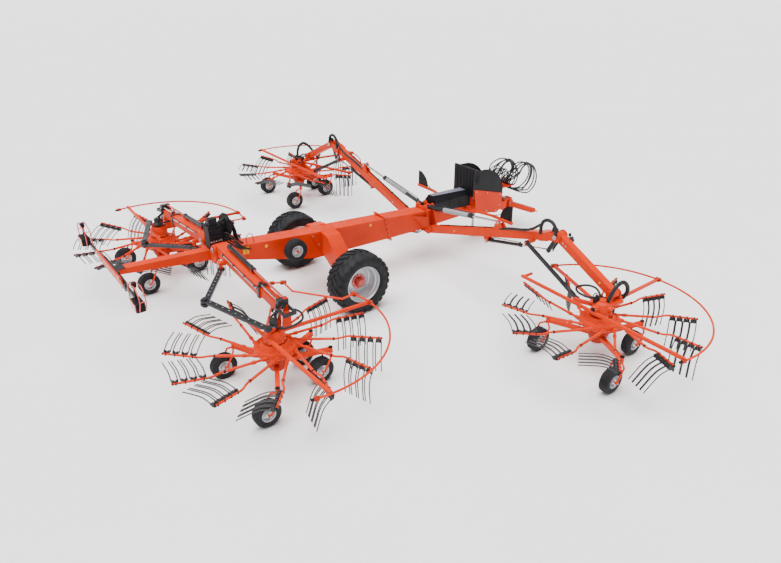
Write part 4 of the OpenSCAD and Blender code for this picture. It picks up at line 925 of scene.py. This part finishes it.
def dress_hoses():
    hoses, steel, red = makers(3)
    for i in range(6):
        y = (i - 2.5) * 0.058
        r = 0.2 + 0.018 * (i % 3)
        for e in (-1, 1):
            at = move(4.75 + e * r, y, 0)
            steel.shell([(0.012, 1.148), (0.021, 1.148), (0.021, 1.172), (0.017, 1.176), (0.017, 1.225),
                (0.012, 1.228)], 16, at)
            cap = red if (i + e) % 3 == 0 else steel
            cap.shell([(0.012, 1.228), (0.02, 1.23), (0.02, 1.256), (0.012, 1.258)], 16, at)
    for k in range(5):
        y = -0.13 + 0.065 * k
        big, mid = 0.3 + 0.022 * (k % 3), 4.9 + 0.03 * (k % 2)
        loop = [(4.56, y, 1.15), (4.54, y - 0.01, 1.25)]
        for a in range(150, -61, -30):
            loop.append((mid + big * 1.05 * cos(radians(a)), y + 0.05 * sin(k + a / 40),
                1.4 + big * sin(radians(a))))
        loop += [(4.985, y + 0.01, 1.17), (4.94, y, 1.15)]
        hoses.hose(loop, 0.015)
    for k in range(5):
        y, big = -0.15 + 0.06 * k, 0.34 - 0.025 * (k % 3)
        mid = (5.33 + 0.035 * (k % 2), y - 0.16, 1.27 + 0.02 * (k % 3))
        loop = [(4.94, y, 1.15), (4.955, y - 0.02, 1.26)]
        for a in range(150, -111, -30):
            loop.append((mid[0] + big * cos(radians(a)), mid[1] + 0.03 * sin(k + a / 35),
                mid[2] + big * sin(radians(a))))
        loop += [(5.06, y - 0.06, 1.02), (4.985, y, 1.12), (4.965, y, 1.16)]
        hoses.hose(loop, 0.016)
    for k in range(3):
        y = -0.06 + 0.06 * k
        hoses.hose([(4.02, y, 1.16), (4.2, y, 1.22), (4.36, y, 1.2 + 0.02 * k), (4.47, y, 1.16),
            (4.52, y, 1.145)], 0.012)
    make_all("rack", ((hoses, "hoses", "hose"), (steel, "couplers", "zinc"), (red, "caps", "red_cap")))


def dress_tail():
    black, red, amber, wire, dark, nuts = makers(6)
    lamp_y, post_y, guard_back, guard_front = 1.455, 1.395, -4.02, -3.93
    for s in (-1, 1):
        y = s * lamp_y
        black.block((0.14, 0.262, 0.15), move(-3.995, y, 1.52), 0.01)
        red.block((0.016, 0.118, 0.122), move(-4.066, y + s * 0.062, 1.52), 0.005)
        amber.block((0.016, 0.1, 0.122), move(-4.066, y - s * 0.06, 1.52), 0.005)
        black.disc(0.038, 1.776, 1.863, move(-3.99, s * post_y, 0), 24, 0.01)
        black.disc(0.0195, 1.59, 1.78, move(-3.99, s * post_y, 0), 20)
        dark.block((0.046, 0.602, 0.066), move(-3.935, s * 1.023, 1.47), 0.005)
        for x in (guard_back, guard_front):
            guard = [(x, y + s * out, z) for out, z in ((-0.3, 1.47), (-0.29, 1.78), (0.12, 1.84),
                (0.24, 1.66), (0.13, 1.47))]
            wire.tube(bent(guard, 0.09), 0.009, 8)
        for out, z in ((-0.291, 1.76), (0.236, 1.66)):
            wire.bar((guard_back, y + s * out, z), (guard_front, y + s * out, z), 0.008, 8)
        dark.block((0.07, 0.06, 0.12), move(-3.935, s * 0.7, 1.47), 0.008)
        dark.beam((-3.93, s * 0.42, 1.545), (-3.93, s * 0.7, 1.52), 0.036, 0.05)
        for z in (1.45, 1.6):
            red.disc(0.034, 0, 0.009, move(-3.968 - (z - 1.45) * 0.21, s * 0.59, z) @ turn("Y", -90 + 12), 24)
        for z in (1.43, 1.62):
            for yy in (0.1, 0.45):
                nuts.bolt((-3.962 - (z - 1.43) * 0.21, s * yy, z), (-1, 0, -0.2), 0.01, 0.01)
    dark.beam((-3.925, -0.3, 1.532), (-3.925, 0.42, 1.532), 0.05, 0.05)
    dark.block((0.16, 0.2, 0.014), move(-3.84, 0, 1.513) @ turn("Y", 2.5), 0.003)
    make_all("lamp", ((black, "housings", "black_plastic"), (red, "red", "red_lens"),
        (amber, "amber", "amber_lens"), (wire, "guards", "red_paint")))
    make_all("tail", ((dark, "brackets", "dark_paint"), (nuts, "bolts", "zinc")))


def dress_hydraulics():
    black, steel, hoses, red = makers(4)
    for k in range(5):
        x = -2.29 + 0.045 * k
        for z in (1.8, 1.68):
            black.disc(0.019, -0.135, 0.135, move(x, 0, z) @ turn("X", 90), 20)
        for s in (-1, 1):
            for z in (1.58, 1.5):
                steel.bolt((x, s * 0.11, z), (0, s, 0), 0.013, 0.026)
    at = move(-1.96, 0, 1.795) @ turn("Y", 90)
    for r in (0.09, 0.14, 0.188):
        for up in (0.03, -0.03):
            black.ring(at @ move(0, 0, up), r, 0.01, 10, 48)
    black.ring(at, 0.2, 0.014, 12, 56)
    for k in range(8):
        black.block((0.08, 0.014, 0.012), at @ turn("Z", 45 * k) @ move(0.14, 0, 0.032), 0.003)
    for s in (-1, 1):
        for k in range(4):
            z = 1.52 + 0.055 * k
            hoses.hose([(-2.075, s * 0.105, z), (-2.03, s * (0.15 + 0.01 * k), z + 0.03),
                (-1.95, s * (0.205 + 0.012 * k), z - 0.04),
                (-1.86 + 0.02 * k, s * (0.212 + 0.008 * k), 1.4 + 0.01 * k),
                (-1.76 + 0.05 * k, s * 0.182, 1.33 - 0.012 * k)], 0.012)
    for k in range(4):
        y = -0.075 + 0.05 * k
        hoses.hose([(-2.11, y, 1.7), (-2.04, y, 1.93 - 0.02 * k), (-1.9, y, 1.9 - 0.03 * k), (-1.82, y, 1.7),
            (-1.78, y, 1.48), (-1.7, y, 1.402)], 0.012)
    red.hose([(-1.64, -0.1, 1.386), (-1.66, -0.13, 1.5), (-1.6, -0.14, 1.58), (-1.53, -0.12, 1.52),
        (-1.5, -0.1, 1.376)], 0.008, 6, 8)
    make_all("hydraulic", ((black, "solenoids", "black_plastic"), (steel, "fittings", "zinc"),
        (hoses, "hoses", "hose")))
    red.make("lock_loop", "red_paint")


def dress_markers():
    rim, base = makers(2)
    x, corner, low, r = 3.62, 1.54, 0.99, 0.324
    for s in (-1, 1):
        arc = [(x, s * (corner - r * cos(radians(a))), low + r * sin(radians(a))) for a in range(0, 91, 9)]
        rim.tube(arc, 0.011, 10)
        rim.tube([(x, s * 1.536, low), (x, s * 1.536, 1.31)], 0.011, 10)
        base.block((0.06, 0.33, 0.026), move(x, s * 1.39, 0.984), 0.005)
        rim.tube([(3.612, s * 1.3, 1.1), (3.6, s * 1.02, 0.975)], 0.009, 8)
    make_all("marker", ((rim, "rims", "black_plastic"), (base, "bases", "orange")))


def dress_headstock():
    nuts = Maker()
    at = move(4.95, 0, 0)
    nuts.disc(0.052, 0.8, 0.816, at, 28)
    nuts.bolt_ring(6, 0.066, 0.782, at, (0, 0, 1), 0.009, 0.009)
    for s in (-1, 1):
        nuts.disc(0.03, 0, 0.016, move(5.6, s * (0.437 - 0.07 - 0.036), 0.45) @ turn("X", 90 * s), 24)
        for x in (5.1, 5.13):
            nuts.bolt((x, s * 0.09, 0.66), (0, s, 0), 0.012, 0.012)
    nuts.make("headstock_nuts", "zinc", "headstock")


# Finishes of the CAD nodes that stay

FINISH = {
    "orange": ["main_frame", "front_shield", "rear_light_bar", "headstock", "front_arm", "front_outer_arm",
        "rear_arm", "rear_slide", "carriage_front", "carriage_rear"],
    "dark_paint": ["front_link", "lift_barrel", "knee_barrel", "rear_link_inner", "rear_link_outer"],
    "black_plastic": ["driveline_cover", "hydraulic_block", "marker_plates"],
    "chrome": ["lift_rod", "knee_rod"],
    "zinc": ["parking_stand"],
    "hose": ["hose_bundle"],
}


def finish_nodes():
    for mat, stems in FINISH.items():
        for stem in stems:
            for name in (stem, f"{stem}_left", f"{stem}_right"):
                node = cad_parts.get(name)
                if node:
                    node.data.materials.clear()
                    node.data.materials.append(MAT[mat])


make_materials()
make_camera()
make_stage()
finish_nodes()
for side_name, side in SIDES:
    for end in ROTORS:
        make_reel(end, side_name, side)
        dress_carriage(end, side_name, side)
    make_main_wheel(side_name, side)
    dress_front_head(side_name, side)
    dress_front_arm(side_name, side)
    dress_rear_arm(side_name, side)
make_small_wheels()
for dress in (dress_beam, dress_driveline, dress_hoses, dress_tail, dress_hydraulics, dress_markers,
        dress_headstock):
    dress()
